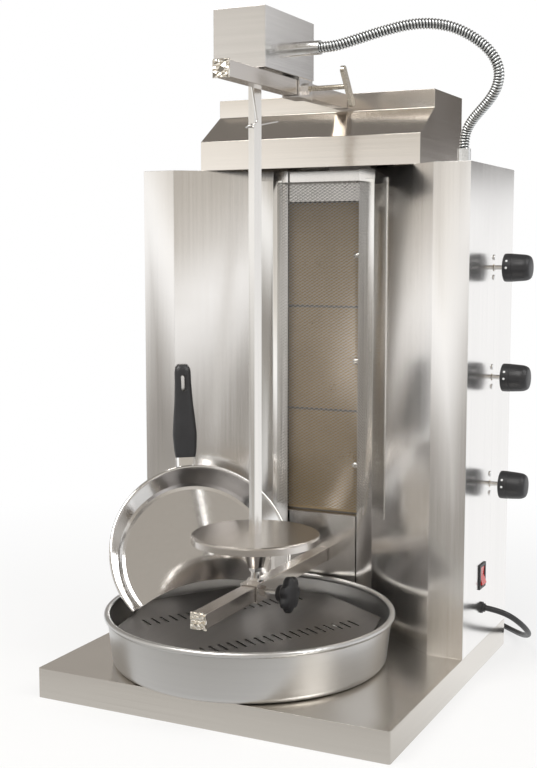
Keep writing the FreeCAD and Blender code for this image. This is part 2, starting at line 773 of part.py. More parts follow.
def star_knob():
    """A lobed grip on a round hub, with a blind bore for its stud."""
    points = []
    steps = 8 * STAR_LOBES
    for i in range(steps):
        angle = 2 * math.pi * i / steps
        radius = STAR_R - 2.6 * (1 - math.cos(STAR_LOBES * angle)) / 2
        points.append(V(STAR_FACE_X, SPIT_Y + radius * math.cos(angle), ARM_Z + radius * math.sin(angle)))
    curve = Part.BSplineCurve()
    curve.interpolate(points, PeriodicFlag=True)
    grip = Part.Face(Part.Wire(curve.toShape())).extrude(V(STAR_T, 0, 0))
    ball = Part.makeSphere(60, V(STAR_FACE_X + STAR_T - 60 + 1.2, SPIT_Y, ARM_Z))
    grip = grip.common(ball)
    hub = Part.makeCone(STAR_HUB_R, STAR_HUB_R + 2, STAR_FACE_X - STAR_HUB_X, V(STAR_HUB_X, SPIT_Y, ARM_Z), X_AXIS)
    bore = rod(SCREW_R, STAR_FACE_X + 4 - STAR_HUB_X, (STAR_HUB_X, SPIT_Y, ARM_Z), X_AXIS)
    return grip.fuse(hub).cut(bore)


def motor_tray():
    """The floor of the motor box with its low walls, on the sleeve that slides on the rail."""
    y1 = BOX_Y0 + BOX_D
    t = BOX_T
    body = box(BOX_X0 + t, BOX_X1 - t, BOX_Y0 + t, y1 - t, BOX_Z0, BOX_Z0 + TRAY_WALL)
    body = body.cut(box(BOX_X0 + 2 * t, BOX_X1 - 2 * t, BOX_Y0 + 2 * t, y1 - 2 * t, BOX_Z0 + t, BOX_TOP))
    sleeve = square_tube(SLEEVE, SLEEVE_T, (RAIL_X, RAIL_SLEEVE_Y0, RAIL_Z), RAIL_SLEEVE_L, Y_AXIS)
    body = body.fuse(sleeve)
    face_x = RAIL_X + SLEEVE / 2
    body = body.fuse(hexagon(TOP_NUT_AF, TOP_NUT_T, (face_x, RAIL_SLEEVE_Y, RAIL_Z), X_AXIS))
    body = body.cut(rod(SCREW_R + RUN, 20, (face_x - SLEEVE_T - 1, RAIL_SLEEVE_Y, RAIL_Z), X_AXIS))
    bush = ring(SOCKET_R + 4, SOCKET_R + RUN, 5, (0, SPIT_Y, BOX_Z0), Z_AXIS)
    return body.cut(rod(SOCKET_R + 3, 10, (0, SPIT_Y, BOX_Z0 - 1), Z_AXIS)).fuse(bush)


def motor_cover():
    """The folded cover, which stands on a bead above the low walls."""
    y1 = BOX_Y0 + BOX_D
    t = BOX_T
    low = BOX_Z0
    body = box(BOX_X0, BOX_X1, BOX_Y0, y1, low, BOX_TOP)
    body = body.cut(box(BOX_X0 + t, BOX_X1 - t, BOX_Y0 + t, y1 - t, low, BOX_TOP - t))
    hole = (BOX_X1 - 2 * t, ADAPTOR_Y, ADAPTOR_Z)
    return body.cut(rod(ADAPTOR_STUB_R + 0.1, 4 * t, hole, X_AXIS))


def gear_outline(teeth, clearance, turn):
    """A spur gear's outline: four points a tooth, with the flanks thinned for backlash."""
    pitch_r = teeth * MODULE / 2
    tip = pitch_r + 0.85 * MODULE
    root = pitch_r - 1.15 * MODULE
    step = 2 * math.pi / teeth
    thin = clearance / pitch_r
    points = []
    for i in range(teeth):
        middle = turn + i * step
        for radius, part in ((root, -0.36), (tip, -0.13), (tip, 0.13), (root, 0.36)):
            shift = -math.copysign(thin, part)
            angle = middle + part * step + shift
            points.append((radius * math.cos(angle), radius * math.sin(angle)))
    return points


def output_gear():
    """The drive shaft with its gear above and the square socket below."""
    z0 = BOX_Z0 - SOCKET_DROP
    body = rod(SOCKET_R, SOCKET_H, (0, SPIT_Y, z0), Z_AXIS)
    body = body.fuse(rod(SHAFT_R, PLATE_Z + PLATE_T - z0 - SOCKET_H, (0, SPIT_Y, z0 + SOCKET_H), Z_AXIS))
    points = gear_outline(GEAR_TEETH, 0.08, math.pi / GEAR_TEETH + math.pi / 2)
    gear = prism([(x, y + SPIT_Y, GEAR_Z) for x, y in points], V(0, 0, GEAR_T))
    body = body.fuse(gear)
    return body.cut(bar_column(BAR / 2 + 0.1, z0 - 1, BAR_TOP + SEAT))


def motor_pinion():
    points = gear_outline(PINION_TEETH, 0.08, -math.pi / 2)
    body = prism([(x, y + PINION_Y, GEAR_Z) for x, y in points], V(0, 0, GEAR_T))
    shaft = rod(2.5, 10, (0, PINION_Y, GEAR_Z + GEAR_T), Z_AXIS)
    return body.fuse(shaft)


def gear_motor():
    """The motor can on its gear plate, which stands on four posts on the floor."""
    x = 24.0
    y0 = SPIT_Y - 24
    y1 = PINION_Y + 22
    floor = BOX_Z0 + BOX_T
    plate = box(-x, x, y0, y1, PLATE_Z, PLATE_Z + PLATE_T)
    for px in (-x + 3, x - 3):
        for py in (y0 + 3, y1 - 3):
            plate = plate.fuse(rod(2.5, PLATE_Z - floor, (px, py, floor), Z_AXIS))
    can = rod(MOTOR_R, MOTOR_H, (0, PINION_Y, PLATE_Z + PLATE_T), Z_AXIS)
    body = plate.fuse(can)
    body = body.cut(rod(SHAFT_R + RUN, 10, (0, SPIT_Y, PLATE_Z - 3), Z_AXIS))
    return body.cut(rod(2.5 + RUN, 14, (0, PINION_Y, PLATE_Z - 3), Z_AXIS))


def conduit_adaptor():
    """The hose end fitting on the box's right wall, with its nut inside."""
    x = BOX_X1
    body = rod(ADAPTOR_R, ADAPTOR_L, (x, ADAPTOR_Y, ADAPTOR_Z), X_AXIS)
    body = body.fuse(rod(ADAPTOR_STUB_R, 8, (x - 8, ADAPTOR_Y, ADAPTOR_Z), X_AXIS))
    body = body.fuse(hexagon(18, 4, (x - BOX_T - 4, ADAPTOR_Y, ADAPTOR_Z), X_AXIS))
    return body.cut(rod(HOSE_BORE_R, ADAPTOR_L + 20, (x - 10, ADAPTOR_Y, ADAPTOR_Z), X_AXIS))


def conduit_route():
    """From the adaptor's end to the ferrule's top, square to both over one diameter."""
    x0 = BOX_X1 + ADAPTOR_L
    top = CAB_TOP + FERRULE_H
    d = 2 * HOSE_R
    start = [(x0, ADAPTOR_Y, ADAPTOR_Z), (x0 + 1.2 * d, ADAPTOR_Y, ADAPTOR_Z)]
    end = [(FERRULE_X, FERRULE_Y, top + 1.4 * d), (FERRULE_X, FERRULE_Y, top)]
    run = FERRULE_X - SIDE_SHIFT - x0
    rise = BOX_Z0 - ROUTE_BOX_Z0
    between = []
    for x, y, z in HOSE_ROUTE:
        share = min(1.0, (x - x0) / run)
        between.append((x + SIDE_SHIFT * share, y, z + rise))
    return start + between + end


def conduit_hose():
    """A ribbed hose: circles square to the route, low and high by turns, joined by cones."""
    wire, radii = rounded_route(conduit_route())
    ribs = int(wire.Length / HOSE_RIB_PITCH)
    print("conduit hose length %.0f" % wire.Length, "least radius %.1f" % min(radii), "ribs", ribs)
    low = HOSE_R - HOSE_GROOVE
    heights = [HOSE_R, HOSE_R, low, low]
    outer = []
    inner = []
    ends = []
    total = 0.0
    for edge in wire.Edges:
        ends.append((total, edge))
        total += edge.Length
    count = 4 * ribs
    for i in range(count + 1):
        s = min(total * i / count, total - 1e-6)
        begin, edge = [e for e in ends if e[0] <= s + 1e-9][-1]
        at = edge.getParameterByLength(min(s - begin, edge.Length))
        point = edge.valueAt(at)
        heading = edge.tangentAt(at)
        steady = Y_AXIS - heading * Y_AXIS.dot(heading)
        outer.append(ring_wire(point, heading, steady, heights[i % 4]))
        inner.append(ring_wire(point, heading, steady, HOSE_BORE_R))
    ends = [Part.Face(outer[k]).cut(Part.Face(inner[k])).Faces[0] for k in (0, -1)]
    faces = Part.makeLoft(outer, False, True).Faces + Part.makeLoft(inner, False, True).Faces + ends
    skin = Part.Compound(faces)
    skin.sewShape()
    solid = Part.Solid(skin.Shells[0])
    if solid.Volume < 0:
        solid.reverse()
    return solid


def ring_wire(point, heading, steady, radius):
    circle = Part.Circle(point, heading, radius)
    circle.XAxis = steady
    return Part.Wire(circle.toShape())


def conduit_ferrule():
    """The lower hose fitting on the right cabinet's top."""
    base = (FERRULE_X, FERRULE_Y, CAB_TOP)
    body = rod(ADAPTOR_R, FERRULE_H, base, Z_AXIS)
    body = body.fuse(rod(ADAPTOR_STUB_R, 9, (FERRULE_X, FERRULE_Y, CAB_TOP - 9), Z_AXIS))
    body = body.fuse(hexagon(18, 4, (FERRULE_X, FERRULE_Y, CAB_TOP - CAB_T - 4), Z_AXIS))
    return body.cut(rod(HOSE_BORE_R, FERRULE_H + 20, (FERRULE_X, FERRULE_Y, CAB_TOP - 10), Z_AXIS))


def rail_clamp_pad():
    return rod(SCREW_R, PAD_T, (RAIL_X + TUBE / 2, RAIL_SLEEVE_Y, RAIL_Z), X_AXIS)


def rail_clamp_handle():
    """The screw with its flat cross bar."""
    x0 = RAIL_X + TUBE / 2 + PAD_T
    nut_end = RAIL_X + SLEEVE / 2 + TOP_NUT_T
    body = rod(SCREW_R, nut_end + 1 - x0, (x0, RAIL_SLEEVE_Y, RAIL_Z), X_AXIS)
    body = body.fuse(rod(T_ROD_R, T_ROD_END + 1 - nut_end, (nut_end, RAIL_SLEEVE_Y, RAIL_Z), X_AXIS))
    half = T_BAR_L / 2 - T_BAR_W / 2
    bar = box(0, T_BAR_T, -T_BAR_W / 2, T_BAR_W / 2, -half, half)
    for side in (-1, 1):
        bar = bar.fuse(rod(T_BAR_W / 2, T_BAR_T, (0, 0, side * half), X_AXIS))
    bar = bar.removeSplitter()
    turn = FreeCAD.Rotation(X_AXIS, T_BAR_TILT)
    bar.Placement = FreeCAD.Placement(V(T_ROD_END, RAIL_SLEEVE_Y, RAIL_Z), turn)
    return body.fuse(bar)


def injectors_and_pipes():
    """The jets in the mixing tubes' ends, each on its own bent supply pipe."""
    pieces = []
    end = BURNER_HALF + MIX_LENGTH
    for z in VALVE_Z:
        jet = rod(JET_R, JET_T, (end, MIX_Y, z), X_AXIS)
        jet = jet.fuse(rod(JET_R / 2, 5, (end - 5, MIX_Y, z), X_AXIS))
        start = end + JET_T - 1
        route = [(start, MIX_Y, z), (start + 18, MIX_Y, z), (VALVE_X0 - 18, VALVE_Y, z), (VALVE_X0, VALVE_Y, z)]
        pieces.append(jet.fuse(tube_along(route, PIPE_R, "supply pipe")))
    return Part.Compound(pieces)


def gas_valves():
    """Tap bodies on the manifold, with a chamber for the plunger and a bored neck."""
    bodies = []
    for z in VALVE_Z:
        body = rod(VALVE_R, VALVE_X1 - VALVE_X0, (VALVE_X0, VALVE_Y, z), X_AXIS)
        neck = HALF_W - CAB_T - VALVE_X1
        body = body.fuse(rod(VALVE_NECK_R, neck, (VALVE_X1, VALVE_Y, z), X_AXIS))
        saddle_w = 9.0
        saddle = box(MANIFOLD_X - saddle_w, MANIFOLD_X + saddle_w, VALVE_Y, MANIFOLD_Y, z - 8, z + 8)
        body = body.fuse(saddle)
        body = body.cut(rod(MANIFOLD_R + 0.1, 40, (MANIFOLD_X, MANIFOLD_Y, z - 20), Z_AXIS))
        body = body.cut(rod(CHAMBER_R, VALVE_X1 - CHAMBER_X0, (CHAMBER_X0, VALVE_Y, z), X_AXIS))
        body = body.cut(rod(STEM_R + RUN, neck + 1, (VALVE_X1 - 0.5, VALVE_Y, z), X_AXIS))
        bodies.append(body)
    return Part.Compound(bodies)


def valve_plunger(z):
    return ring(PLUNGER_R, STEM_R + RUN, PLUNGER_T, (PLUNGER_X0, VALVE_Y, z), X_AXIS)


def valve_stem(z):
    """The stem, with a collar on each side of the plunger ring."""
    end = KNOB_X0 + KNOB_BORE
    body = rod(STEM_R, end - STEM_X0, (STEM_X0, VALVE_Y, z), X_AXIS)
    collar = 2.0
    body = body.fuse(rod(5.0, collar, (PLUNGER_X0 - collar, VALVE_Y, z), X_AXIS))
    return body.fuse(rod(5.0, collar, (PLUNGER_X0 + PLUNGER_T, VALVE_Y, z), X_AXIS))


def gas_knob(z):
    """A round knob with a stepped skirt and a slightly hollow face."""
    r0 = KNOB_R0
    r1 = KNOB_R1
    length = KNOB_L
    profile = [(0, 0), (r0 - 0.6, 0), (r0, 0.6), (r0, 8), (r0 - 1.3, 9.5), (r1, length - 2.5),
               (r1 - 0.8, length - 0.7), (r1 - 2.5, length), (0, length)]
    body = revolve(profile, V(KNOB_X0, VALVE_Y, z), X_AXIS)
    return body.cut(rod(STEM_R, KNOB_BORE, (KNOB_X0, VALVE_Y, z), X_AXIS))


def gas_manifold():
    """The upright supply pipe with the threaded inlet through the rear cover."""
    top = VALVE_Z[-1] + MANIFOLD_TOP
    body = rod(MANIFOLD_R, top - MANIFOLD_Z0, (MANIFOLD_X, MANIFOLD_Y, MANIFOLD_Z0), Z_AXIS)
    body = body.fuse(Part.makeSphere(MANIFOLD_R, V(MANIFOLD_X, MANIFOLD_Y, MANIFOLD_Z0)))
    run = BACK_Y - 8 - MANIFOLD_Y
    body = body.fuse(rod(MANIFOLD_R, run, (MANIFOLD_X, MANIFOLD_Y, MANIFOLD_Z0), Y_AXIS))
    thread_y = HALF_D + INLET_RELIEF
    relief = thread_y - (BACK_Y - 8)
    body = body.fuse(rod(INLET_RELIEF_R, relief, (MANIFOLD_X, BACK_Y - 8, MANIFOLD_Z0), Y_AXIS))
    body = body.fuse(rod(INLET_R, INLET_OUT, (MANIFOLD_X, thread_y, MANIFOLD_Z0), Y_AXIS))
    bore = thread_y + INLET_OUT - MANIFOLD_Y
    return body.cut(rod(MANIFOLD_R - 1.5, bore, (MANIFOLD_X, MANIFOLD_Y, MANIFOLD_Z0), Y_AXIS))


def switch_housing():
    """The switch body in the panel, with its rim outside and a well for the rocker."""
    w = SWITCH_W / 2
    h = SWITCH_H / 2
    x = HALF_W
    rim = SWITCH_RIM
    body = box(x - SWITCH_DEPTH, x, SWITCH_Y - w, SWITCH_Y + w, SWITCH_Z - h, SWITCH_Z + h)
    body = body.fuse(box(x, x + SWITCH_RIM_T, SWITCH_Y - w - rim, SWITCH_Y + w + rim,
                         SWITCH_Z - h - rim, SWITCH_Z + h + rim))
    well_w = ROCKER_W / 2 + HOLE_GAP
    well_h = ROCKER_H / 2 + 1.2
    body = body.cut(box(x - 14, x + SWITCH_RIM_T, SWITCH_Y - well_w, SWITCH_Y + well_w,
                        SWITCH_Z - well_h, SWITCH_Z + well_h))
    pin = (rocker_pivot().x, SWITCH_Y - well_w - 2, SWITCH_Z)
    return body.cut(rod(ROCKER_PIN_R + RUN, 2 * well_w + 4, pin, Y_AXIS))


def rocker_pivot():
    return V(HALF_W - 4, SWITCH_Y, SWITCH_Z)


def switch_rocker():
    """A rocker with a shallow vee face, tilted to its off side about its pin."""
    w = ROCKER_W / 2
    h = ROCKER_H / 2
    points = [(-5, -w, -h + 2), (7.0, -w, -h), (4.6, -w, 0), (7.0, -w, h), (-5, -w, h - 2)]
    body = prism(points, V(0, ROCKER_W, 0))
    body = body.fuse(rod(ROCKER_PIN_R, ROCKER_W + 4, (0, -w - 2, 0), Y_AXIS))
    body.Placement = FreeCAD.Placement(rocker_pivot(), FreeCAD.Rotation(Y_AXIS, -ROCKER_TILT))
    return body


def cord_gland():
    """The cord's bush in the panel."""
    x = HALF_W
    body = rod(GLAND_R, 2.5, (x, GLAND_Y, GLAND_Z), X_AXIS)
    body = body.fuse(rod(GLAND_STUB_R, GLAND_LENGTH, (x, GLAND_Y, GLAND_Z), X_AXIS))
    body = body.fuse(rod(GLAND_STUB_R, 8, (x - 8, GLAND_Y, GLAND_Z), X_AXIS))
    return body.cut(rod(CORD_R, GLAND_LENGTH, (x, GLAND_Y, GLAND_Z), X_AXIS))


def mains_cord():
    route = [(x + SIDE_SHIFT, y, z) for x, y, z in CORD_ROUTE]
    return tube_along(route, CORD_R, "mains cord")


def coil_point(turns):
    """A spiral inwards on the floor, half a turn up, and the same spiral outwards above."""
    inward = COIL_TURNS + 0.5
    if turns <= inward:
        share = turns / inward
        rise = max(0.0, (turns - COIL_TURNS) / 0.5)
    else:
        share = 1.0 - (turns - inward) / COIL_TURNS
        rise = 1.0
    rise = rise * rise * (3 - 2 * rise)
    radius = COIL_R_OUT + (COIL_R_IN - COIL_R_OUT) * share
    angle = math.pi / 2 + 2 * math.pi * turns
    return V(COIL_MID_X + radius * math.cos(angle), COIL_Y + radius * math.sin(angle), COIL_Z + COIL_LAYER * rise)


def coil_heading(turns):
    step = 1e-4
    if turns < step:
        return V(-1, 0, 0)
    if turns > COIL_SPAN - step:
        return V(1, 0, 0)
    return (coil_point(turns + step) - coil_point(turns - step)).normalize()


def biarc(p0, t0, p1, t1):
    """Two arcs that join in a common tangent, with equal distances to their corners."""
    v = p1 - p0
    a = 2 * (1 - t0.dot(t1))
    b = 2 * v.dot(t0 + t1)
    c = -v.dot(v)
    if abs(a) < 1e-9:
        d = -c / b
    else:
        d = (-b + math.sqrt(b * b - 4 * a * c)) / (2 * a)
    q = p0 + t0 * d
    r = p1 - t1 * d
    m = (q + r) * 0.5
    return [arc_between(p0, q, m), arc_between(m, r, p1)]


def cord_coil():
    """The cord's put-away turns: one unbroken tube on biarcs of a quarter turn."""
    edges = []
    steps = int(COIL_SPAN * 4)
    for i in range(steps):
        a = i / 4
        b = (i + 1) / 4
        edges += biarc(coil_point(a), coil_heading(a), coil_point(b), coil_heading(b))
    end = coil_point(COIL_SPAN)
    edges.append(Part.LineSegment(end, end + X_AXIS * PLUG_TAIL).toShape())
    wire = Part.Wire(edges)
    samples = []
    total = 0.0
    for edge in wire.Edges:
        for k in range(6):
            s = edge.Length * k / 6
            samples.append((total + s, edge.valueAt(edge.getParameterByLength(s))))
        total += edge.Length
    least = min((p - q).Length for s, p in samples for t, q in samples if t - s > 60)
    solid = pipe_along(wire, CORD_R)
    share = solid.Volume / (math.pi * CORD_R ** 2 * wire.Length)
    print("cord coil length %.0f" % wire.Length, "least gap %.2f" % (least - 2 * CORD_R), "share %.4f" % share)
    return solid


def cord_tie():
    """A flat band round the coil's bundle, at its left side."""
    x0 = COIL_MID_X - COIL_R_OUT - CORD_R - 0.3
    x1 = COIL_MID_X - COIL_R_IN + CORD_R + 0.3
    z0 = COIL_Z - CORD_R - 0.3
    z1 = COIL_Z + COIL_LAYER + CORD_R + 0.3
    t = TIE_T
    outer = box(x0 - t, x1 + t, COIL_Y - TIE_W / 2, COIL_Y + TIE_W / 2, z0 - t, z1 + t)
    return outer.cut(box(x0, x1, COIL_Y - TIE_W, COIL_Y + TIE_W, z0, z1))


def mains_plug():
    """A moulded plug with two round pins, on the coil's upper end."""
    x = COIL_MID_X + PLUG_TAIL
    y = COIL_Y - COIL_R_OUT
    z = COIL_Z + COIL_LAYER
    body = box(x + 12, x + PLUG_L, y - PLUG_W / 2, y + PLUG_W / 2, z - PLUG_H / 2, z + PLUG_H / 2)
    body = body.makeFillet(5, body.Edges)
    body = body.fuse(Part.makeCone(6, 9, 15, V(x, y, z), X_AXIS))
    for side in (-1, 1):
        pin = (x + PLUG_L - 1, y + side * PLUG_PIN_PITCH / 2, z)
        body = body.fuse(rod(PLUG_PIN_R, PLUG_PIN_L + 1, pin, X_AXIS))
    return body


def drip_tray():
    """A round tray with a sloped wall and a rolled rim."""
    r = PAN_R
    c = PAN_CORNER
    z0 = BASE_H
    z1 = BASE_H + PAN_H
    t = PAN_T
    rim = PAN_RIM_R
    k = c * (1 - math.sqrt(0.5))
    outer = [V(0, 0, z0), V(r - c, 0, z0), V(r - k, 0, z0 + k), V(r, 0, z0 + c), V(rim, 0, z1)]
    inner = [V(0, 0, z0 + t), V(r - c, 0, z0 + t), V(r - k - 0.7 * t, 0, z0 + k + 0.7 * t), V(r - t, 0, z0 + c),
             V(rim - t, 0, z1)]
    edges = [Part.LineSegment(outer[0], outer[1]).toShape(), Part.Arc(outer[1], outer[2], outer[3]).toShape(),
             Part.LineSegment(outer[3], outer[4]).toShape(), Part.LineSegment(outer[4], inner[4]).toShape(),
             Part.LineSegment(inner[4], inner[3]).toShape(), Part.Arc(inner[3], inner[2], inner[1]).toShape(),
             Part.LineSegment(inner[1], inner[0]).toShape(), Part.LineSegment(inner[0], outer[0]).toShape()]
    body = Part.Face(Part.Wire(edges)).revolve(V(0, 0, 0), Z_AXIS, 360)
    bead = Part.makeTorus(rim, PAN_BEAD, V(0, 0, z1))
    body = body.fuse(bead)
    body.translate(V(PAN_X, PAN_Y, 0))
    return body


def slotted_plate():
    """An octagonal plate with two rows of slots, on four folded legs."""
    t = PLATE_SHEET
    corners = []
    for i in range(8):
        angle = math.radians(PLATE_TURN + 45 * i)
        corners.append((PLATE_R * math.cos(angle), PLATE_R * math.sin(angle), PLATE_TOP - t))
    body = prism(corners, V(0, 0, t))
    row = math.radians(PLATE_TURN + 22.5)
    along = V(math.cos(row), math.sin(row), 0)
    across = V(-math.sin(row), math.cos(row), 0)
    cuts = []
    for side in (-1, 1):
        for i in range(SLOT_COUNT):
            place = across * (side * SLOT_ROW) + along * ((i - (SLOT_COUNT - 1) / 2) * SLOT_PITCH)
            half = SLOT_L / 2 - SLOT_W / 2
            z = PLATE_TOP - t
            slot = box(-SLOT_W / 2, SLOT_W / 2, -half, half, z, z + t)
            for end in (-half, half):
                slot = slot.fuse(rod(SLOT_W / 2, t, (0, end, z), Z_AXIS))
            slot.rotate(V(0, 0, 0), Z_AXIS, math.degrees(row))
            slot.translate(place)
            cuts.append(slot)
    body = body.cut(cuts)
    apothem = PLATE_R * math.cos(math.pi / 8)
    half = PLATE_LEG_W / 2
    for i in (0, 2, 4, 6):
        leg = box(apothem - t, apothem, -half, half, BASE_H + PAN_T, PLATE_TOP - t)
        leg.rotate(V(0, 0, 0), Z_AXIS, PLATE_TURN + 22.5 + 45 * (i + 1))
        body = body.fuse(leg)
    body.translate(V(PAN_X, PAN_Y, 0))
    return body


def scoop_axes():
    """The scoop's own axes: to the right, up along its mouth, and out of its mouth."""
    azimuth = math.radians(SCOOP_AZIMUTH)
    lean = math.radians(SCOOP_LEAN)
    out = V(math.cos(azimuth) * math.cos(lean), math.sin(azimuth) * math.cos(lean), math.sin(lean))
    right = V(-math.sin(azimuth), math.cos(azimuth), 0)
    return right, out.cross(right), out


def scoop_placement():
    right, up, out = scoop_axes()
    rotation = FreeCAD.Rotation(right, up, out, "XYZ")
    return FreeCAD.Placement(SCOOP_C, rotation)


def scoop_pan():
    """A round pan with a rolled rim, one side cut out in a hollow arc, and a tang."""
    t = SCOOP_T
    d = SCOOP_DEPTH
    rf = SCOOP_FLOOR_R
    rr = SCOOP_R
    profile = [(0, -d), (rf - 7, -d), (rf - 2, -d + 1.5), (rf + 2, -d + 6), (rr, 0), (rr - t, 0),
               (rf + 2 - t, -d + 6.5), (rf - 3, -d + 2.5), (rf - 7.5, -d + t), (0, -d + t)]
    body = revolve(profile)
    body = body.fuse(Part.makeTorus(rr, SCOOP_BEAD, V(0, 0, 0)))
    left = math.radians(SCOOP_CUT_LEFT)
    right = math.radians(SCOOP_CUT_RIGHT)
    chord = 2 * rr * math.sin((right - left) / 2)
    rise = SCOOP_CUT_RISE
    radius = chord * chord / (8 * rise) + rise / 2
    reach = rr * math.cos((right - left) / 2) + radius - rise
    middle = (left + right) / 2
    centre = (reach * math.cos(middle), reach * math.sin(middle), -d - 10)
    body = body.cut(rod(radius, d + 30, centre, Z_AXIS))
    body.Placement = scoop_placement()
    inside = revolve([(0, t - d), (rf - 7.5, t - d), (rf - 3, 2.5 - d), (rf + 2 - t, 6.5 - d), (rr - t, 0),
                      (rr - t, d), (0, d)])
    inside.Placement = scoop_placement()
    root, heading, side, flat = grip_axes()
    start = root - heading * TANG_BITE
    tang = grip_section(start, heading, side, flat, TANG_L + TANG_BITE, TANG_W, TANG_W, TANG_T, TANG_T)
    return body.fuse(tang.cut(inside))


def grip_axes():
    """Where the tang leaves the wall behind the rim, the grip's direction and its cross directions."""
    right, up, out = scoop_axes()
    angle = math.radians(SCOOP_HANDLE_ANGLE)
    root = SCOOP_C + right * (SCOOP_R * math.cos(angle)) + up * (SCOOP_R * math.sin(angle)) - out * TANG_DROP
    end = V(GRIP_FROM_SIDE - HALF_W, GRIP_END_Y, GRIP_END_Z)
    heading = (end - root).normalize()
    side = (right - heading * right.dot(heading)).normalize()
    return root, heading, side, heading.cross(side)


def grip_section(start, heading, side, flat, length, w0, w1, t0, t1):
    """A tapered bar with rounded corners between two cross sections."""
    wires = []
    for at, w, t in ((0.0, w0, t0), (length, w1, t1)):
        centre = start + heading * at
        r = 0.42 * t
        points = []
        for sx, sy in ((1, 1), (-1, 1), (-1, -1), (1, -1)):
            cx = sx * (w / 2 - r)
            cy = sy * (t / 2 - r)
            first = math.atan2(sy, sx) - math.pi / 4
            for k in range(4):
                a = first + k * math.pi / 6
                points.append(centre + side * (cx + r * math.cos(a)) + flat * (cy + r * math.sin(a)))
        wires.append(Part.makePolygon(points + [points[0]]))
    return Part.makeLoft(wires, True, True)


def scoop_handle():
    """The black grip: widest near the pan, with a hanging slot near its end."""
    root, heading, side, flat = grip_axes()
    start = root + heading * TANG_L
    length = GRIP_L
    body = grip_section(start, heading, side, flat, 0.3 * length, GRIP_W0 - 3, GRIP_W0, GRIP_T0 - 1, GRIP_T0)
    middle = start + heading * (0.3 * length)
    body = body.fuse(grip_section(middle, heading, side, flat, 0.64 * length, GRIP_W0, GRIP_W1, GRIP_T0, GRIP_T1))
    end = start + heading * (0.94 * length)
    tip = 0.06 * length
    body = body.fuse(grip_section(end, heading, side, flat, tip, GRIP_W1, GRIP_W1 - 6, GRIP_T1, GRIP_T1 - 4))
    slot = Part.makeBox(7, 20, 60, V(-3.5, -10, -30))
    slot.Placement = FreeCAD.Placement(start + heading * (0.83 * length), FreeCAD.Rotation(side, heading, flat, "XYZ"))
    return body.cut(slot)


def screw(start, axis):
    """A pan head standing on its sheet at the start point, with its shank inwards."""
    head = rod(SCREW_HEAD_R, SCREW_HEAD_T, start, axis)
    head = head.makeFillet(0.8, [e for e in head.Edges if abs(e.CenterOfMass.dot(axis)
                           - (V(*start).dot(axis) + SCREW_HEAD_T)) < 0.01 and e.Length > 3])
    return head


def panel_screws():
    """Screw heads on the rear cover and beside each gas knob."""
    heads = []
    for x in (-HALF_W + 7, HALF_W - 7):
        for z in (60.0, 270.0, 480.0, 690.0):
            heads.append(screw((x, HALF_D, z), Y_AXIS))
    for z in VALVE_Z:
        for side in (-1, 1):
            heads.append(screw((HALF_W, VALVE_Y, z + side * 14), X_AXIS))
    return Part.Compound(heads)


def nodes():
    """Every separate piece by its name."""
    parts = {
        "base_tray": base_tray,
        "base_bottom": base_bottom,
        "left_cabinet": left_cabinet,
        "right_cabinet": right_cabinet,
        "rear_cover": rear_cover,
        "burner_housing": burner_housing,
        "lower_front_panel": lower_front_panel,
        "burner_top_plate": burner_top_plate,
        "burners": burners,
        "ceramic_plaques": ceramic_plaques,
        "mesh_guard": mesh_guard,
        "corner_reflectors": corner_reflectors,
        "thermocouples": thermocouples,
        "hood": hood,
        "upper_rail": upper_rail,
        "lower_arm": lower_arm,
        "end_caps": end_caps,
        "rear_post": rear_post,
        "spit_rod": spit_rod,
        "spit_pin": spit_pin,
        "spit_disc": spit_disc,
        "arm_bracket": arm_bracket,
        "thrust_bearing": thrust_bearing,
        "arm_clamp_pad": arm_clamp_pad,
        "knob_stud": knob_stud,
        "star_knob": star_knob,
        "motor_tray": motor_tray,
        "motor_cover": motor_cover,
        "gear_motor": gear_motor,
        "motor_pinion": motor_pinion,
        "output_gear": output_gear,
        "conduit_adaptor": conduit_adaptor,
        "conduit_hose": conduit_hose,
        "conduit_ferrule": conduit_ferrule,
        "rail_clamp_pad": rail_clamp_pad,
        "rail_clamp_handle": rail_clamp_handle,
        "injectors_and_pipes": injectors_and_pipes,
        "gas_valves": gas_valves,
        "gas_manifold": gas_manifold,
        "switch_housing": switch_housing,
        "switch_rocker": switch_rocker,
        "cord_gland": cord_gland,
        "mains_cord": mains_cord,
        "cord_coil": cord_coil,
        "cord_tie": cord_tie,
        "mains_plug": mains_plug,
        "drip_tray": drip_tray,
        "slotted_plate": slotted_plate,
        "scoop_pan": scoop_pan,
        "scoop_handle": scoop_handle,
        "panel_screws": panel_screws,
    }
    for name, z in zip(("lower", "middle", "upper"), VALVE_Z):
        parts["valve_plunger_" + name] = lambda z=z: valve_plunger(z)
        parts["valve_stem_" + name] = lambda z=z: valve_stem(z)
        parts["gas_knob_" + name] = lambda z=z: gas_knob(z)
    return parts


def build():
    os.makedirs("parts", exist_ok=True)
    for name, make in nodes().items():
        shape = make()
        if not shape.isValid() or shape.Volume <= 0:
            print("NOT VALID:", name, shape.ShapeType, shape.Volume)
        shape.exportStep("parts/" + name + ".step")


build()
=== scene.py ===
"""The looks of the gas doner kebab grill. Metres, in the frame of the solids.

+X is to the right, +Y to the back and +Z up. The origin is the centre of the base's underside.
"""

import math

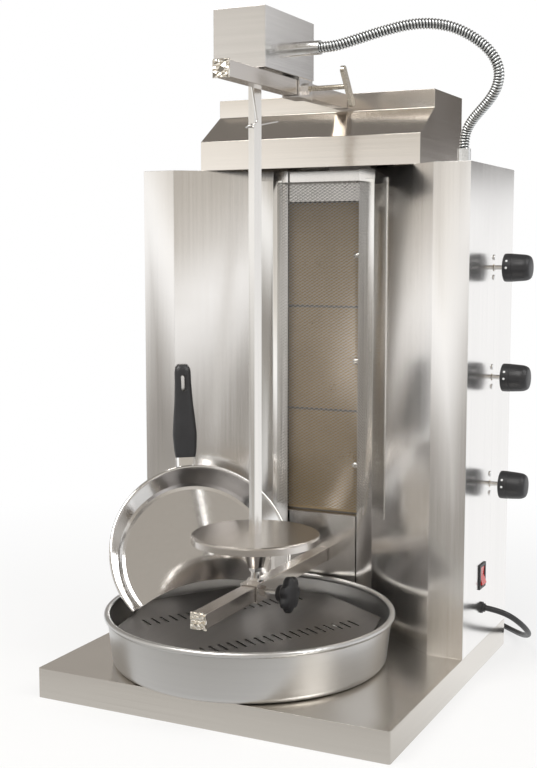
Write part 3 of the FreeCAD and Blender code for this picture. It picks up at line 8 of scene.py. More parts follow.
import bmesh
import bpy
import numpy as np
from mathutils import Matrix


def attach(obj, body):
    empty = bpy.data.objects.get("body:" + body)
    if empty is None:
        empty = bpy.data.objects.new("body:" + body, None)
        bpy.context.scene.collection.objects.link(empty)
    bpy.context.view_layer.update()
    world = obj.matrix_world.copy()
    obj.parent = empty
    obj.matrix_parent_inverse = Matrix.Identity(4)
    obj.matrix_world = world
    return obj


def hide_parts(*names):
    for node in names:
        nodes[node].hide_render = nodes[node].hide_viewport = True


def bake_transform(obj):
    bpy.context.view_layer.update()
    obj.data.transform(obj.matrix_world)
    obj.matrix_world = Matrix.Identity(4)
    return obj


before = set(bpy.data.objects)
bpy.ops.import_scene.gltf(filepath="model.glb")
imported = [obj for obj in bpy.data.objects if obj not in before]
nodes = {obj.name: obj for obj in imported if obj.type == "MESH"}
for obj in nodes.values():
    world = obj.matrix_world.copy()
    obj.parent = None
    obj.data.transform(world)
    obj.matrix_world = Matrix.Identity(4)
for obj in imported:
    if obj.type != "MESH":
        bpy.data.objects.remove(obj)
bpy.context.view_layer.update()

ROOT = "frame"
X_AXIS = np.array([1.0, 0.0, 0.0])
Y_AXIS = np.array([0.0, 1.0, 0.0])
Z_AXIS = np.array([0.0, 0.0, 1.0])

# The spit's axis, the arm's height and the tray's middle
SPIT_Y = -0.098
ARM_Z = 0.140
TRAY_MIDDLE = (-0.0175, -0.0805)

# Welding distance of new meshes, and the least angle in degrees that shows as a sharp edge
WELD = 1e-6
SHARP = 35.0

# The camera, solved from the photograph's edges: f is 1225.7 px on a height of 768 px
CAMERA_PLACE = (0.7244, -1.5393, 0.5943)
CAMERA_YAW = 26.061
CAMERA_PITCH = 6.199
SENSOR = 36.0
CAMERA_LENS = 1225.7 / 768 * SENSOR


# ---------------------------------------------------------------- node graphs


def graph_node(tree, kind, sockets=None, **settings):
    """A shader node with its settings made and its sockets set or linked."""
    item = tree.nodes.new(kind)
    for key, value in settings.items():
        setattr(item, key, value)
    for key, value in (sockets or {}).items():
        if isinstance(value, bpy.types.NodeSocket):
            tree.links.new(value, item.inputs[key])
        else:
            item.inputs[key].default_value = value
    return item


def placed(tree, scale=(1, 1, 1), move=(0, 0, 0), turn=(0, 0, 0)):
    """The piece's own coordinates, moved, turned and then stretched."""
    place = graph_node(tree, "ShaderNodeTexCoord").outputs["Object"]
    sockets = {"Vector": place, "Location": move, "Rotation": turn, "Scale": scale}
    return graph_node(tree, "ShaderNodeMapping", sockets).outputs["Vector"]


def grain_noise(tree, vector, scale=1.0, detail=2.0, rough=0.5):
    """Soft noise from 0 to 1, mostly between 0.3 and 0.7."""
    sockets = {"Vector": vector, "Scale": scale, "Detail": detail, "Roughness": rough}
    return graph_node(tree, "ShaderNodeTexNoise", sockets).outputs["Fac"]


def calc(tree, operation, *values):
    """One step of arithmetic on numbers or sockets."""
    sockets = dict(enumerate(values))
    return graph_node(tree, "ShaderNodeMath", sockets, operation=operation).outputs[0]


def spread_out(tree, value, low, high, to_low, to_high):
    """The value's stretch from low to high becomes a stretch from to_low to to_high."""
    sockets = {"Value": value, "From Min": low, "From Max": high, "To Min": to_low, "To Max": to_high}
    return graph_node(tree, "ShaderNodeMapRange", sockets).outputs["Result"]


def colours_along(tree, value, *stops):
    """A colour that runs through the stops, each a place and a colour."""
    item = graph_node(tree, "ShaderNodeValToRGB", {"Fac": value})
    ramp = item.color_ramp
    while len(ramp.elements) < len(stops):
        ramp.elements.new(0.5)
    for element, (place, colour) in zip(ramp.elements, stops):
        element.position = place
        element.color = (*colour, 1.0)
    return item.outputs["Color"]


def weighed(tree, first, share, second, other_share):
    """The first value times its share, plus the second times the other share."""
    parts = [calc(tree, "MULTIPLY", first, share), calc(tree, "MULTIPLY", second, other_share)]
    return calc(tree, "ADD", *parts)


def tinted(tree, share, first, second):
    """The first colour, turned into the second one by the share."""
    return graph_node(tree, "ShaderNodeMixRGB", {0: share, 1: first, 2: second}).outputs[0]


def blended(tree, share, first, second):
    """The first shader, turned into the second one by the share."""
    return graph_node(tree, "ShaderNodeMixShader", {0: share, 1: first, 2: second}).outputs[0]


def picture_rays(tree):
    """Whether a ray comes from the camera or through glass, and whether it is mirrored."""
    rays = graph_node(tree, "ShaderNodeLightPath").outputs
    return calc(tree, "MAXIMUM", rays["Is Camera Ray"], rays["Is Transmission Ray"]), rays["Is Glossy Ray"]


def raised(tree, height, distance, strength=1.0, below=None):
    """A bump of the distance in metres, over the surface that lies below it."""
    sockets = {"Height": height, "Distance": distance, "Strength": strength}
    if below is not None:
        sockets["Normal"] = below
    return graph_node(tree, "ShaderNodeBump", sockets).outputs["Normal"]


def new_finish(name, **sockets):
    """A material with one Principled shader, whose constant sockets are set here."""
    material = bpy.data.materials.new(name)
    material.use_nodes = True
    tree = material.node_tree
    shader = tree.nodes["Principled BSDF"]
    for key, value in sockets.items():
        shader.inputs[key.replace("_", " ")].default_value = value
    return material, tree, shader


def shade(colour, factor):
    """The colour made darker or lighter, up to white."""
    return tuple(min(1.0, channel * factor) for channel in colour)


# ------------------------------------------------------------------- finishes

# The height in metres of a brushed streak, and the places along X where the plug's pins begin
STREAK_DEPTH = 0.00003
PIN_START = (0.1918, 0.1926)


def worked_metal(name, colour, roughness, grain, tone=0.05, spread=0.05, wave=0.0, spun=None):
    """Brushed or spun metal. Its streaks are long where the grain's number is small.

    The streaks change the colour by tone and the roughness by spread. A spun piece has its
    streaks round the upright axis through the point spun. wave is the height of the sheet's
    slow unevenness in metres.
    """
    material, tree, shader = new_finish(name, Metallic=1.0)
    if spun is None:
        lines = placed(tree, grain)
    else:
        parts = graph_node(tree, "ShaderNodeSeparateXYZ", {0: placed(tree, move=(-spun[0], -spun[1], 0))})
        x2 = calc(tree, "MULTIPLY", parts.outputs[0], parts.outputs[0])
        y2 = calc(tree, "MULTIPLY", parts.outputs[1], parts.outputs[1])
        radius = calc(tree, "SQRT", calc(tree, "ADD", x2, y2))
        flat = graph_node(tree, "ShaderNodeCombineXYZ", {0: radius, 2: parts.outputs[2]}).outputs[0]
        lines = graph_node(tree, "ShaderNodeMapping", {"Vector": flat, "Scale": grain}).outputs[0]
    fine = grain_noise(tree, lines, 1.0, 3.0, 0.6)
    broad = grain_noise(tree, lines, 0.11, 2.0)
    smudge = grain_noise(tree, placed(tree), 9.0, 3.0)
    streaks = weighed(tree, fine, 0.6, broad, 0.4)
    dark = shade(colour, 1 - tone)
    light = shade(colour, 1 + tone)
    tint = colours_along(tree, streaks, (0.3, dark), (0.7, light))
    worn = weighed(tree, streaks, 0.6, smudge, 0.4)
    tree.links.new(tint, shader.inputs["Base Color"])
    gloss = spread_out(tree, worn, 0.3, 0.7, roughness - spread, roughness + spread)
    tree.links.new(gloss, shader.inputs["Roughness"])
    surface = raised(tree, fine, STREAK_DEPTH, 0.35)
    if wave:
        slow = grain_noise(tree, placed(tree), 5.0, 1.0)
        surface = raised(tree, slow, wave, 1.0, surface)
    tree.links.new(surface, shader.inputs["Normal"])
    return material


def cast_finish(name, colour, roughness, grit, depth, metallic=0.0, mottle=0.15, **sockets):
    """Moulded, cast or fired stuff: grit raises it by depth, and mottle varies its colour."""
    material, tree, shader = new_finish(name, Metallic=metallic, **sockets)
    place = placed(tree)
    fine = grain_noise(tree, place, grit, 4.0, 0.6)
    patch = grain_noise(tree, place, grit / 30, 3.0)
    both = weighed(tree, fine, 0.4, patch, 0.6)
    dark = shade(colour, 1 - mottle)
    light = shade(colour, 1 + mottle)
    tree.links.new(colours_along(tree, both, (0.3, dark), (0.7, light)), shader.inputs["Base Color"])
    gloss = spread_out(tree, patch, 0.3, 0.7, roughness * 0.85, roughness * 1.15)
    tree.links.new(gloss, shader.inputs["Roughness"])
    tree.links.new(raised(tree, fine, depth), shader.inputs["Normal"])
    return material


def ceramic_finish():
    """Tan fired ceramic with fine holes. The holes are painted shade, the darker the nearer to the middle
    of each cell, and the tan is darkened by painted shade as well.
    """
    material, tree, shader = new_finish("honeycomb_ceramic", Roughness=0.85)
    place = placed(tree, (560.0, 1.0, 560.0))
    cells = graph_node(tree, "ShaderNodeTexVoronoi", {"Vector": place, "Scale": 1.0, "Randomness": 0.25})
    stain = grain_noise(tree, placed(tree), 14.0, 4.0)
    hole_depth_and_shade = spread_out(tree, cells.outputs["Distance"], 0.12, 0.34, 0.0, 1.0)
    both = weighed(tree, hole_depth_and_shade, 0.75, stain, 0.3)
    # Painted shade: dark brown in the holes and a tan darkened as if shaded, with a random stain over both
    tint = colours_along(tree, both, (0.1, (0.16, 0.105, 0.055)), (0.55, (0.36, 0.26, 0.145)),
                         (0.95, (0.48, 0.37, 0.23)))
    tree.links.new(tint, shader.inputs["Base Color"])
    tree.links.new(raised(tree, hole_depth_and_shade, 0.0006), shader.inputs["Normal"])
    return material


def cap_finish():
    """Bright plated plastic whose face is cut into small flats."""
    material, tree, shader = new_finish("faceted_cap", Metallic=1.0, Roughness=0.12)
    cells = graph_node(tree, "ShaderNodeTexVoronoi", {"Vector": placed(tree), "Scale": 130.0})
    fine = grain_noise(tree, placed(tree), 400.0, 2.0)
    tint = colours_along(tree, fine, (0.3, (0.80, 0.72, 0.58)), (0.7, (0.92, 0.90, 0.86)))
    tree.links.new(tint, shader.inputs["Base Color"])
    tree.links.new(raised(tree, cells.outputs["Distance"], 0.0035), shader.inputs["Normal"])
    return material


def hose_finish():
    """Zinc-plated band, with painted shade that darkens it with the depth of the groove, which the mesh
    stores.
    """
    material, tree, shader = new_finish("hose_zinc_groove_shade", Metallic=1.0)
    depth = graph_node(tree, "ShaderNodeAttribute", attribute_name="groove").outputs["Fac"]
    stain = grain_noise(tree, placed(tree), 260.0, 3.0)
    both = calc(tree, "ADD", depth, calc(tree, "MULTIPLY", stain, 0.16))
    # Painted shade: bright zinc on the ribs, near black deep in the grooves, with a little random stain on
    # top
    tint = colours_along(tree, both, (0.12, (0.80, 0.82, 0.82)), (0.55, (0.40, 0.415, 0.42)),
                         (0.95, (0.09, 0.095, 0.10)))
    tree.links.new(tint, shader.inputs["Base Color"])
    tree.links.new(spread_out(tree, both, 0.0, 1.0, 0.18, 0.5), shader.inputs["Roughness"])
    tree.links.new(raised(tree, stain, 0.00005), shader.inputs["Normal"])
    return material


def plug_finish():
    """Black moulding as far as the pins, which are plated."""
    material, tree, shader = new_finish("moulded_plug")
    parts = graph_node(tree, "ShaderNodeSeparateXYZ", {0: placed(tree)})
    pins = spread_out(tree, parts.outputs[0], *PIN_START, 0.0, 1.0)
    tint = colours_along(tree, pins, (0.0, (0.03, 0.03, 0.032)), (1.0, (0.78, 0.76, 0.70)))
    tree.links.new(tint, shader.inputs["Base Color"])
    tree.links.new(pins, shader.inputs["Metallic"])
    tree.links.new(spread_out(tree, pins, 0.0, 1.0, 0.5, 0.25), shader.inputs["Roughness"])
    fine = grain_noise(tree, placed(tree), 900.0, 3.0)
    tree.links.new(raised(tree, fine, 0.00005), shader.inputs["Normal"])
    return material


# Grains: a streak runs along each axis whose number is small
UPRIGHT = (1300.0, 1300.0, 5.0)
LEVEL = (5.0, 5.0, 1300.0)
LEVEL_Y = (1300.0, 5.0, 1300.0)
ROUND = (1400.0, 1.0, 1400.0)
STEEL = (0.90, 0.885, 0.87)

finishes = {
    "panel": worked_metal("brushed_panel_steel", STEEL, 0.20, UPRIGHT, wave=0.0004),
    "inner": worked_metal("inner_panel_steel", (0.82, 0.80, 0.775), 0.19, UPRIGHT, wave=0.0003),
    "reflector": worked_metal("reflector_steel", (0.92, 0.91, 0.89), 0.18, UPRIGHT),
    "hood": worked_metal("brushed_hood_steel", (0.80, 0.755, 0.70), 0.16, LEVEL, tone=0.04,
                         spread=0.03, wave=0.0004),
    "base": worked_metal("brushed_base_steel", (0.72, 0.685, 0.635), 0.22, LEVEL, wave=0.0003),
    "box": worked_metal("box_steel", (0.84, 0.825, 0.81), 0.20, LEVEL, wave=0.0003),
    "tube": worked_metal("tube_steel", (0.74, 0.70, 0.66), 0.24, LEVEL_Y),
    "post": worked_metal("post_steel", (0.62, 0.60, 0.58), 0.32, UPRIGHT),
    "spit": worked_metal("spit_steel", (0.84, 0.82, 0.79), 0.22, UPRIGHT),
    "disc": worked_metal("spun_disc_steel", (0.68, 0.645, 0.61), 0.22, ROUND, tone=0.015,
                         spread=0.02, spun=(0.0, SPIT_Y)),
    "chrome": worked_metal("polished_steel", (0.86, 0.85, 0.84), 0.09, ROUND, tone=0.02, spread=0.03),
    "scoop": worked_metal("polished_scoop_steel", (0.86, 0.855, 0.85), 0.085, ROUND, tone=0.02,
                          spread=0.025, wave=0.0002),
    "tray": worked_metal("satin_aluminium", (0.68, 0.675, 0.665), 0.33, ROUND, tone=0.03,
                         spread=0.03, spun=TRAY_MIDDLE),
    "plate": worked_metal("dull_plate_steel", (0.235, 0.225, 0.22), 0.40, (700.0, 8.0, 700.0), tone=0.12),
    "mesh": worked_metal("galvanised_mesh", (0.47, 0.455, 0.435), 0.30, (400.0, 400.0, 400.0), tone=0.15),
    "zinc": worked_metal("zinc_plating", (0.76, 0.765, 0.76), 0.24, (260.0, 260.0, 260.0), tone=0.10),
    "hose": hose_finish(),
    "handle": worked_metal("clamp_steel", (0.72, 0.66, 0.56), 0.28, (900.0, 900.0, 900.0), tone=0.08),
    "brass": worked_metal("machined_brass", (0.78, 0.62, 0.32), 0.28, (500.0, 500.0, 500.0), tone=0.08),
    "gear": worked_metal("gear_steel", (0.50, 0.49, 0.48), 0.35, (300.0, 300.0, 300.0)),
    "burner": cast_finish("cast_burner", (0.20, 0.195, 0.19), 0.6, 700.0, 0.0003, metallic=0.7),
    # The burner housing's steel is given a dark, warm colour
    "housing": worked_metal("dark_housing_steel", (0.40, 0.36, 0.32), 0.38, UPRIGHT, tone=0.12),
    "motor": cast_finish("motor_paint", (0.30, 0.31, 0.33), 0.45, 500.0, 0.0001),
    "grip": cast_finish("black_grip", (0.022, 0.022, 0.024), 0.36, 1500.0, 0.00005),
    "knob": cast_finish("black_knob", (0.026, 0.026, 0.028), 0.42, 1300.0, 0.00006),
    "rubber": cast_finish("cord_sheath", (0.030, 0.030, 0.031), 0.45, 1100.0, 0.00006),
    "mark": cast_finish("white_mark", (0.86, 0.86, 0.85), 0.5, 900.0, 0.00002, mottle=0.03),
    "rocker": cast_finish("red_rocker", (0.72, 0.035, 0.03), 0.22, 300.0, 0.00003, mottle=0.12,
                          Coat_Weight=0.4, Transmission_Weight=0.15),
    "cap": cap_finish(),
    "ceramic": ceramic_finish(),
    "plug": plug_finish(),
}

node_finishes = {
    "base_tray": "base", "base_bottom": "base", "left_cabinet": "panel", "right_cabinet": "panel",
    "rear_cover": "panel", "burner_housing": "housing", "lower_front_panel": "inner",
    "burner_top_plate": "inner", "burners": "burner", "ceramic_plaques": "ceramic",
    "corner_reflectors": "reflector", "thermocouples": "chrome", "hood": "hood", "upper_rail": "tube",
    "lower_arm": "tube", "end_caps": "cap", "rear_post": "post", "spit_rod": "spit",
    "spit_pin": "chrome", "spit_disc": "disc", "arm_bracket": "tube", "thrust_bearing": "chrome",
    "arm_clamp_pad": "zinc", "knob_stud": "zinc", "motor_tray": "box", "motor_cover": "box",
    "gear_motor": "motor", "motor_pinion": "gear", "output_gear": "gear", "conduit_adaptor": "zinc",
    "conduit_ferrule": "zinc", "rail_clamp_pad": "zinc", "rail_clamp_handle": "handle",
    "injectors_and_pipes": "brass", "gas_valves": "brass", "gas_manifold": "zinc",
    "switch_housing": "knob", "switch_rocker": "rocker", "cord_gland": "rubber", "cord_tie": "rubber",
    "mains_plug": "plug", "drip_tray": "tray", "slotted_plate": "plate", "scoop_pan": "scoop",
    "panel_screws": "chrome",
}
for level in ("lower", "middle", "upper"):
    node_finishes["valve_plunger_" + level] = "brass"
    node_finishes["valve_stem_" + level] = "chrome"


def dress_node(name, finish):
    """The solid's own mesh keeps its shape and takes the finish in each of its slots."""
    solid = nodes[name]
    for socket in solid.material_slots:
        socket.link = "OBJECT"
        socket.material = finish


for name, key in node_finishes.items():
    dress_node(name, finishes[key])

# --------------------------------------------------------------------- meshes


def grid_faces(rows, columns, close_rows=False, close_columns=False):
    """Four-sided faces between neighbouring rows and columns, going round where it closes."""
    row = np.arange(rows if close_rows else rows - 1)
    column = np.arange(columns if close_columns else columns - 1)
    row, column = np.meshgrid(row, column, indexing="ij")
    next_row = (row + 1) % rows
    next_column = (column + 1) % columns
    corners = [row * columns + column, row * columns + next_column,
               next_row * columns + next_column, next_row * columns + column]
    return np.stack(corners, axis=-1).reshape(-1, 4)


def in_scene(name, data):
    """A new object in the scene, around its mesh, curve, lamp or camera."""
    item = bpy.data.objects.new(name, data)
    bpy.context.scene.collection.objects.link(item)
    return item


def smooth_shaded(mesh, crease=SHARP):
    """Smooth shading, with the edges sharp past the crease in degrees."""
    mesh.polygons.foreach_set("use_smooth", np.ones(len(mesh.polygons), dtype=bool))
    mesh.set_sharp_from_angle(angle=math.radians(crease))


def mesh_points(mesh):
    """The mesh's points, one row each."""
    points = np.empty(len(mesh.vertices) * 3)
    mesh.vertices.foreach_get("co", points)
    return points.reshape(-1, 3)


def full_turn(count):
    """Even angles over one turn, without the last one, which is the first again."""
    return np.linspace(0, 2 * math.pi, count, endpoint=False)


def new_piece(name, points, faces, finish, body, crease=SHARP):
    """A piece from its points and faces, welded, faced outwards, and sharp past the crease."""
    mesh = bpy.data.meshes.new(name)
    mesh.from_pydata(points.reshape(-1, 3).tolist(), [], faces.tolist())
    shell = bmesh.new()
    shell.from_mesh(mesh)
    bmesh.ops.remove_doubles(shell, verts=shell.verts, dist=WELD)
    bmesh.ops.recalc_face_normals(shell, faces=shell.faces)
    shell.to_mesh(mesh)
    shell.free()
    smooth_shaded(mesh, crease)
    mesh.materials.append(finish)
    piece = in_scene(name, mesh)
    if body:
        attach(piece, body)
    return piece


def unit(vectors):
    return vectors / np.linalg.norm(vectors, axis=-1, keepdims=True)


def along_path(path, shape, steady):
    """The skin round a path. Each of its points is the path's point, plus the shape's first
    number times the side direction, plus its second times the up direction. The side is the
    steady direction made square to the path, and the up is square to both."""
    heading = unit(np.gradient(path, axis=0))
    side = unit(steady - heading * (heading @ steady)[:, None])
    up = np.cross(heading, side)
    return path[:, None] + shape[..., :1] * side[:, None] + shape[..., 1:] * up[:, None]


def turned(profile, turns, centre, axis, first, second):
    """A turned skin: each profile point, a radius and a distance along the axis, goes round
    the centre as radius times (cosine first + sine second), plus distance times the axis."""
    angle = full_turn(turns)
    ray = np.cos(angle)[:, None] * first + np.sin(angle)[:, None] * second
    radius = profile[:, 0][:, None, None]
    distance = profile[:, 1][:, None, None]
    return centre + radius * ray[None] + distance * axis


def eased(profile, steps=6, share=0.3):
    """The profile with each inner corner rounded: a quadratic curve cuts it off at the share
    of its two sides."""
    profile = np.asarray(profile, dtype=float)
    before, corner, after = profile[:-2], profile[1:-1], profile[2:]
    t = np.linspace(0, 1, steps)[None, :, None]
    start = corner + (before - corner) * share
    end = corner + (after - corner) * share
    curve = start[:, None] * (1 - t) ** 2 + 2 * corner[:, None] * t * (1 - t) + end[:, None] * t ** 2
    return np.concatenate([profile[:1], curve.reshape(-1, 2), profile[-1:]])


def softened(name, finish, body, width):
    """A copy of the solid's mesh, welded, with its flat triangles joined and its folds
    rounded by a narrow bevel, in the solid's place."""
    mesh = nodes[name].data.copy()
    mesh.name = name + "_folded"
    shell = bmesh.new()
    shell.from_mesh(mesh)
    bmesh.ops.remove_doubles(shell, verts=shell.verts, dist=2 * WELD)
    bmesh.ops.dissolve_limit(shell, angle_limit=math.radians(0.5), verts=shell.verts, edges=shell.edges)
    shell.to_mesh(mesh)
    shell.free()
    smooth_shaded(mesh)
    mesh.materials.clear()
    mesh.materials.append(finish)
    piece = in_scene(name + "_folded", mesh)
    bevel = piece.modifiers.new("rounded_folds", "BEVEL")
    bevel.width = width
    bevel.segments = 2
    bevel.limit_method = "ANGLE"
    bevel.angle_limit = math.radians(SHARP)
    bevel.harden_normals = True
    bevel.use_clamp_overlap = True
    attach(piece, body)
    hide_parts(name)


# ---------------------------------------------------------------------- cords

CORD_D = 0.008
# From the gland in the right cabinet to the coil behind the grill, in millimetres
CORD_POINTS = [
    (256, 118, 91), (274.5, 118, 89.1), (291.5, 123, 82), (302, 134, 70.5), (306, 150, 59),
    (305, 169, 48.5), (301, 192, 38), (292.5, 221, 26.5), (279, 252, 15.5), (262, 281, 8.8),
    (241, 307, 5.6), (216, 331, 5.2), (188, 353, 5.2), (158, 373, 5.2), (129, 383, 5.2)]
COIL_MIDDLE = (0.100, 0.325, 0.0052)
COIL_R_OUT = 0.058
COIL_R_IN = 0.032
COIL_TURNS = 2
COIL_LAYER = 0.0094
PLUG_TAIL = 0.046


def coil_points(per_turn=24):
    """The coil's points: the radius shrinks evenly from outside to inside over two and a half
    turns, grows again over two, and the height eases up by one layer in the last half turn in."""
    inward = COIL_TURNS + 0.5
    turns = np.linspace(0, inward + COIL_TURNS, int(per_turn * (inward + COIL_TURNS)) + 1)
    share = np.where(turns <= inward, turns / inward, 1 - (turns - inward) / COIL_TURNS)
    rise = np.clip((turns - COIL_TURNS) / 0.5, 0, 1)
    rise = rise * rise * (3 - 2 * rise)
    radius = COIL_R_OUT + (COIL_R_IN - COIL_R_OUT) * share
    angle = math.pi / 2 + 2 * math.pi * turns
    x, y, z = COIL_MIDDLE
    return np.stack([x + radius * np.cos(angle), y + radius * np.sin(angle), z + COIL_LAYER * rise], axis=1)


def smooth_line(name, points, thickness=0.0):
    """A curve of one NURBS spline of order 3, with the points as its control points."""
    curve = bpy.data.curves.new(name, "CURVE")
    curve.dimensions = "3D"
    spline = curve.splines.new("NURBS")
    spline.points.add(len(points) - 1)
    weights = np.ones((len(points), 1))
    spline.points.foreach_set("co", np.hstack([points, weights]).ravel())
    spline.order_u = 3
    spline.use_endpoint_u = True
    spline.resolution_u = 8
    curve.bevel_depth = thickness / 2
    curve.bevel_resolution = 5
    curve.use_fill_caps = True
    return in_scene(name, curve)


def line_points(line):
    """The points that a curve with no bevel runs through."""
    bpy.context.view_layer.update()
    mesh = bpy.data.meshes.new_from_object(line)
    points = mesh_points(mesh)
    bpy.data.meshes.remove(mesh)
    return points


def spaced(path, count):
    """Points at even distances along the path."""
    steps = np.linalg.norm(np.diff(path, axis=0), axis=1)
    at = np.concatenate([[0.0], np.cumsum(steps)])
    wanted = np.linspace(0, at[-1], count)
    return np.stack([np.interp(wanted, at, path[:, k]) for k in range(3)], axis=1)


def mains_lead():
    """The supply cord: out of the gland, down behind the base, round the coil and to the plug."""
    coil = coil_points()
    tail = coil[-1] + X_AXIS * PLUG_TAIL
    points = np.vstack([np.array(CORD_POINTS) / 1000, coil, tail[None]])
    lead = smooth_line("mains_lead", points, CORD_D)
    lead.data.materials.append(finishes["rubber"])
    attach(lead, ROOT)
    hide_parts("mains_cord", "cord_coil")


mains_lead()

HOSE_D = 0.014
HOSE_RIBS = 97
POINTS_A_RIB = 8
POINTS_AROUND = 24
GROOVE = 0.0017
# Where the hose leaves its upper fitting and where it enters the lower one
# From the motor box to the right cabinet's top, in millimetres
HOSE_POINTS = [
    (73, -54, 855.5), (89.8, -54, 855.5), (110, -50.5, 860), (132, -45, 866.5), (156, -37, 873.4),
    (182, -27, 880), (207, -14.5, 882), (231, 0, 878.5), (253, 10.5, 867.5), (271, 17.5, 853.5),
    (282, 25, 838), (285.3, 33.5, 822), (280.5, 42.5, 806), (269, 51.5, 791.5), (253.5, 61.5, 779),
    (237.5, 73, 767), (225, 82, 750.6), (225, 82, 731)]


def conduit():
    """The ribbed hose. At a distance s along it and an angle a round it, its radius falls
    from the full one by a groove whose depth follows the cosine of (s over the pitch, less a
    over a full turn), sharpened, so that the rib winds round as a band-wound hose's does."""
    line = smooth_line("conduit_line", np.array(HOSE_POINTS) / 1000)
    path = line_points(line)
    bpy.data.objects.remove(line)
    path = spaced(path, HOSE_RIBS * POINTS_A_RIB + 1)
    s = np.linspace(0, HOSE_RIBS, len(path))[:, None]
    angle = full_turn(POINTS_AROUND)[None]
    wave = 0.5 - 0.5 * np.cos(2 * math.pi * (s - angle / (2 * math.pi)))
    radius = HOSE_D / 2 - GROOVE * (1 - wave) ** 1.5
    radius[0] = radius[-1] = HOSE_D / 2 - GROOVE
    shape = np.stack([radius * np.cos(angle), radius * np.sin(angle)], axis=-1)
    skin = along_path(path, shape, Y_AXIS)
    ends = np.repeat(path[[0, -1]][:, None], POINTS_AROUND, axis=1)
    points = np.concatenate([ends[:1], skin, ends[1:]])
    faces = grid_faces(len(points), POINTS_AROUND, close_columns=True)
    hose = new_piece("conduit_ribs", points, faces, finishes["hose"], None, 70.0)
    mark_grooves(hose.data, path)
    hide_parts("conduit_hose")
    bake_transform(hose)


def mark_grooves(mesh, path):
    """Stores for each point how deep it lies under the hose's full radius, from 0 to 1, by
    its least distance from the path."""
    points = mesh_points(mesh)
    gap = (points ** 2).sum(axis=1)[:, None] + (path ** 2).sum(axis=1)[None] - 2 * points @ path.T
    radius = np.sqrt(np.maximum(gap.min(axis=1), 0))
    groove = mesh.attributes.new("groove", "FLOAT", "POINT")
    groove.data.foreach_set("value", np.clip((HOSE_D / 2 - radius) / GROOVE, 0, 1).astype(np.float32))


conduit()

# ----------------------------------------------------------------- mesh guard

GUARD_HALF_W = 0.065
GUARD_FRONT_Y = 0.1032
GUARD_BACK_Y = 0.1232
GUARD_Z = (0.216, 0.694)
DIAMOND_H = 0.0046
DIAMOND_W = 0.0076
STRAND_W = 0.0009
STRAND_T = 0.0007
ZIGZAG_SHARE = 0.86
LID_DROP = 0.0006


def strands(span, height, low):
    """Zigzag strands over a flat sheet of the span and height, as (along, up, out) points.
    Every second strand's zigzag is turned over, so that the peaks of one meet the dips of the
    next. Each strand is a flat bar, tilted so that its upper edge stands further out."""
    count = int(round(height / (DIAMOND_H / 2)))
    columns = 2 * int(round(span / DIAMOND_W)) + 1
    along = np.linspace(-span / 2, span / 2, columns)
    zigzag = np.where(np.arange(columns) % 2 == 0, 1.0, -1.0)
    swap = np.where(np.arange(count) % 2 == 0, 1.0, -1.0)
    step = height / count
    level = low + step * (np.arange(count) + 0.5)
    up = level[:, None] + swap[:, None] * zigzag[None] * step / 2 * ZIGZAG_SHARE
    corner_up = np.array([-1, 1, 1, -1]) * STRAND_W / 2
    corner_out = np.array([-1, 0.2, 1.2, 0]) * STRAND_T / 2
    points = np.empty((count, columns, 4, 3))
    points[..., 0] = along[None, :, None]
    points[..., 1] = up[..., None] + corner_up
    points[..., 2] = corner_out
    return points


def bar_faces(strips):
    """The faces of four-sided bars, with their ends closed, from the shape of their points."""
    bars, columns = strips.shape[:2]
    side = grid_faces(columns, 4, close_columns=True)
    caps = np.array([[3, 2, 1, 0], [4 * columns - 4, 4 * columns - 3, 4 * columns - 2, 4 * columns - 1]])
    one = np.concatenate([side, caps])
    start = np.arange(bars)[:, None, None] * columns * 4
    return (one[None] + start).reshape(-1, 4)


def mesh_guard():
    """Expanded metal, bent round three upright faces and one level one. The unfolded distance
    becomes X as far as the corner, and then Y from the front face backwards."""
    depth = GUARD_BACK_Y - GUARD_FRONT_Y
    low, high = GUARD_Z
    wall = strands(2 * (GUARD_HALF_W + depth), high - low, low)
    s = wall[..., 0]
    out = wall[..., 2]
    x = np.clip(s, -GUARD_HALF_W, GUARD_HALF_W)
    past = np.abs(s) - np.abs(x)
    front = past <= 0
    placed_x = np.where(front, x, x + np.sign(s) * out)
    placed_y = np.where(front, GUARD_FRONT_Y - out, GUARD_FRONT_Y + past)
    walls = np.stack([placed_x, placed_y, wall[..., 1]], axis=-1)
    top = strands(2 * GUARD_HALF_W, depth, GUARD_FRONT_Y)
    lid = np.stack([top[..., 0], top[..., 1], high - LID_DROP + top[..., 2]], axis=-1)
    wall_faces = bar_faces(walls)
    lid_faces = bar_faces(lid) + walls[..., 0].size
    points = np.concatenate([walls.reshape(-1, 3), lid.reshape(-1, 3)])
    faces = np.concatenate([wall_faces, lid_faces])
    guard = new_piece("expanded_mesh", points, faces, finishes["mesh"], ROOT)
    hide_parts("mesh_guard")


mesh_guard()

# -------------------------------------------------------------- folded sheets

# Each folded piece's node, finish, body and bevel width
folded = [
    ("base_tray", "base", ROOT, 0.0008), ("left_cabinet", "panel", ROOT, 0.0005),
    ("right_cabinet", "panel", ROOT, 0.0005), ("hood", "hood", ROOT, 0.0005),
    ("lower_front_panel", "inner", ROOT, 0.0004), ("corner_reflectors", "reflector", ROOT, 0.0004),
    ("upper_rail", "tube", ROOT, 0.0009), ("lower_arm", "tube", ROOT, 0.0009),
    ("motor_cover", "box", "motor_carriage", 0.0005), ("spit_rod", "spit", "spit", 0.0007),
    ("rear_post", "post", ROOT, 0.0009),
]
for name, key, body, width in folded:
    softened(name, finishes[key], body, width)

# ---------------------------------------------------------------------- knobs

KNOB_SHARP = 50.0
STAR_LOBES = 7
STAR_R = 0.025
STAR_HUB_R = 0.013
STAR_HOLLOW = 0.17
STAR_TURNS = 140
# From the hub's end, out over the rounded rim, to the top of the dome: radius, distance
STAR_PROFILE = [
    (0.0, 0.033), (0.0112, 0.033), (0.0126, 0.0445), (0.0215, 0.0452), (0.0250, 0.0475),
    (0.0250, 0.0540), (0.0205, 0.0570), (0.0060, 0.0582), (0.0, 0.0582)]


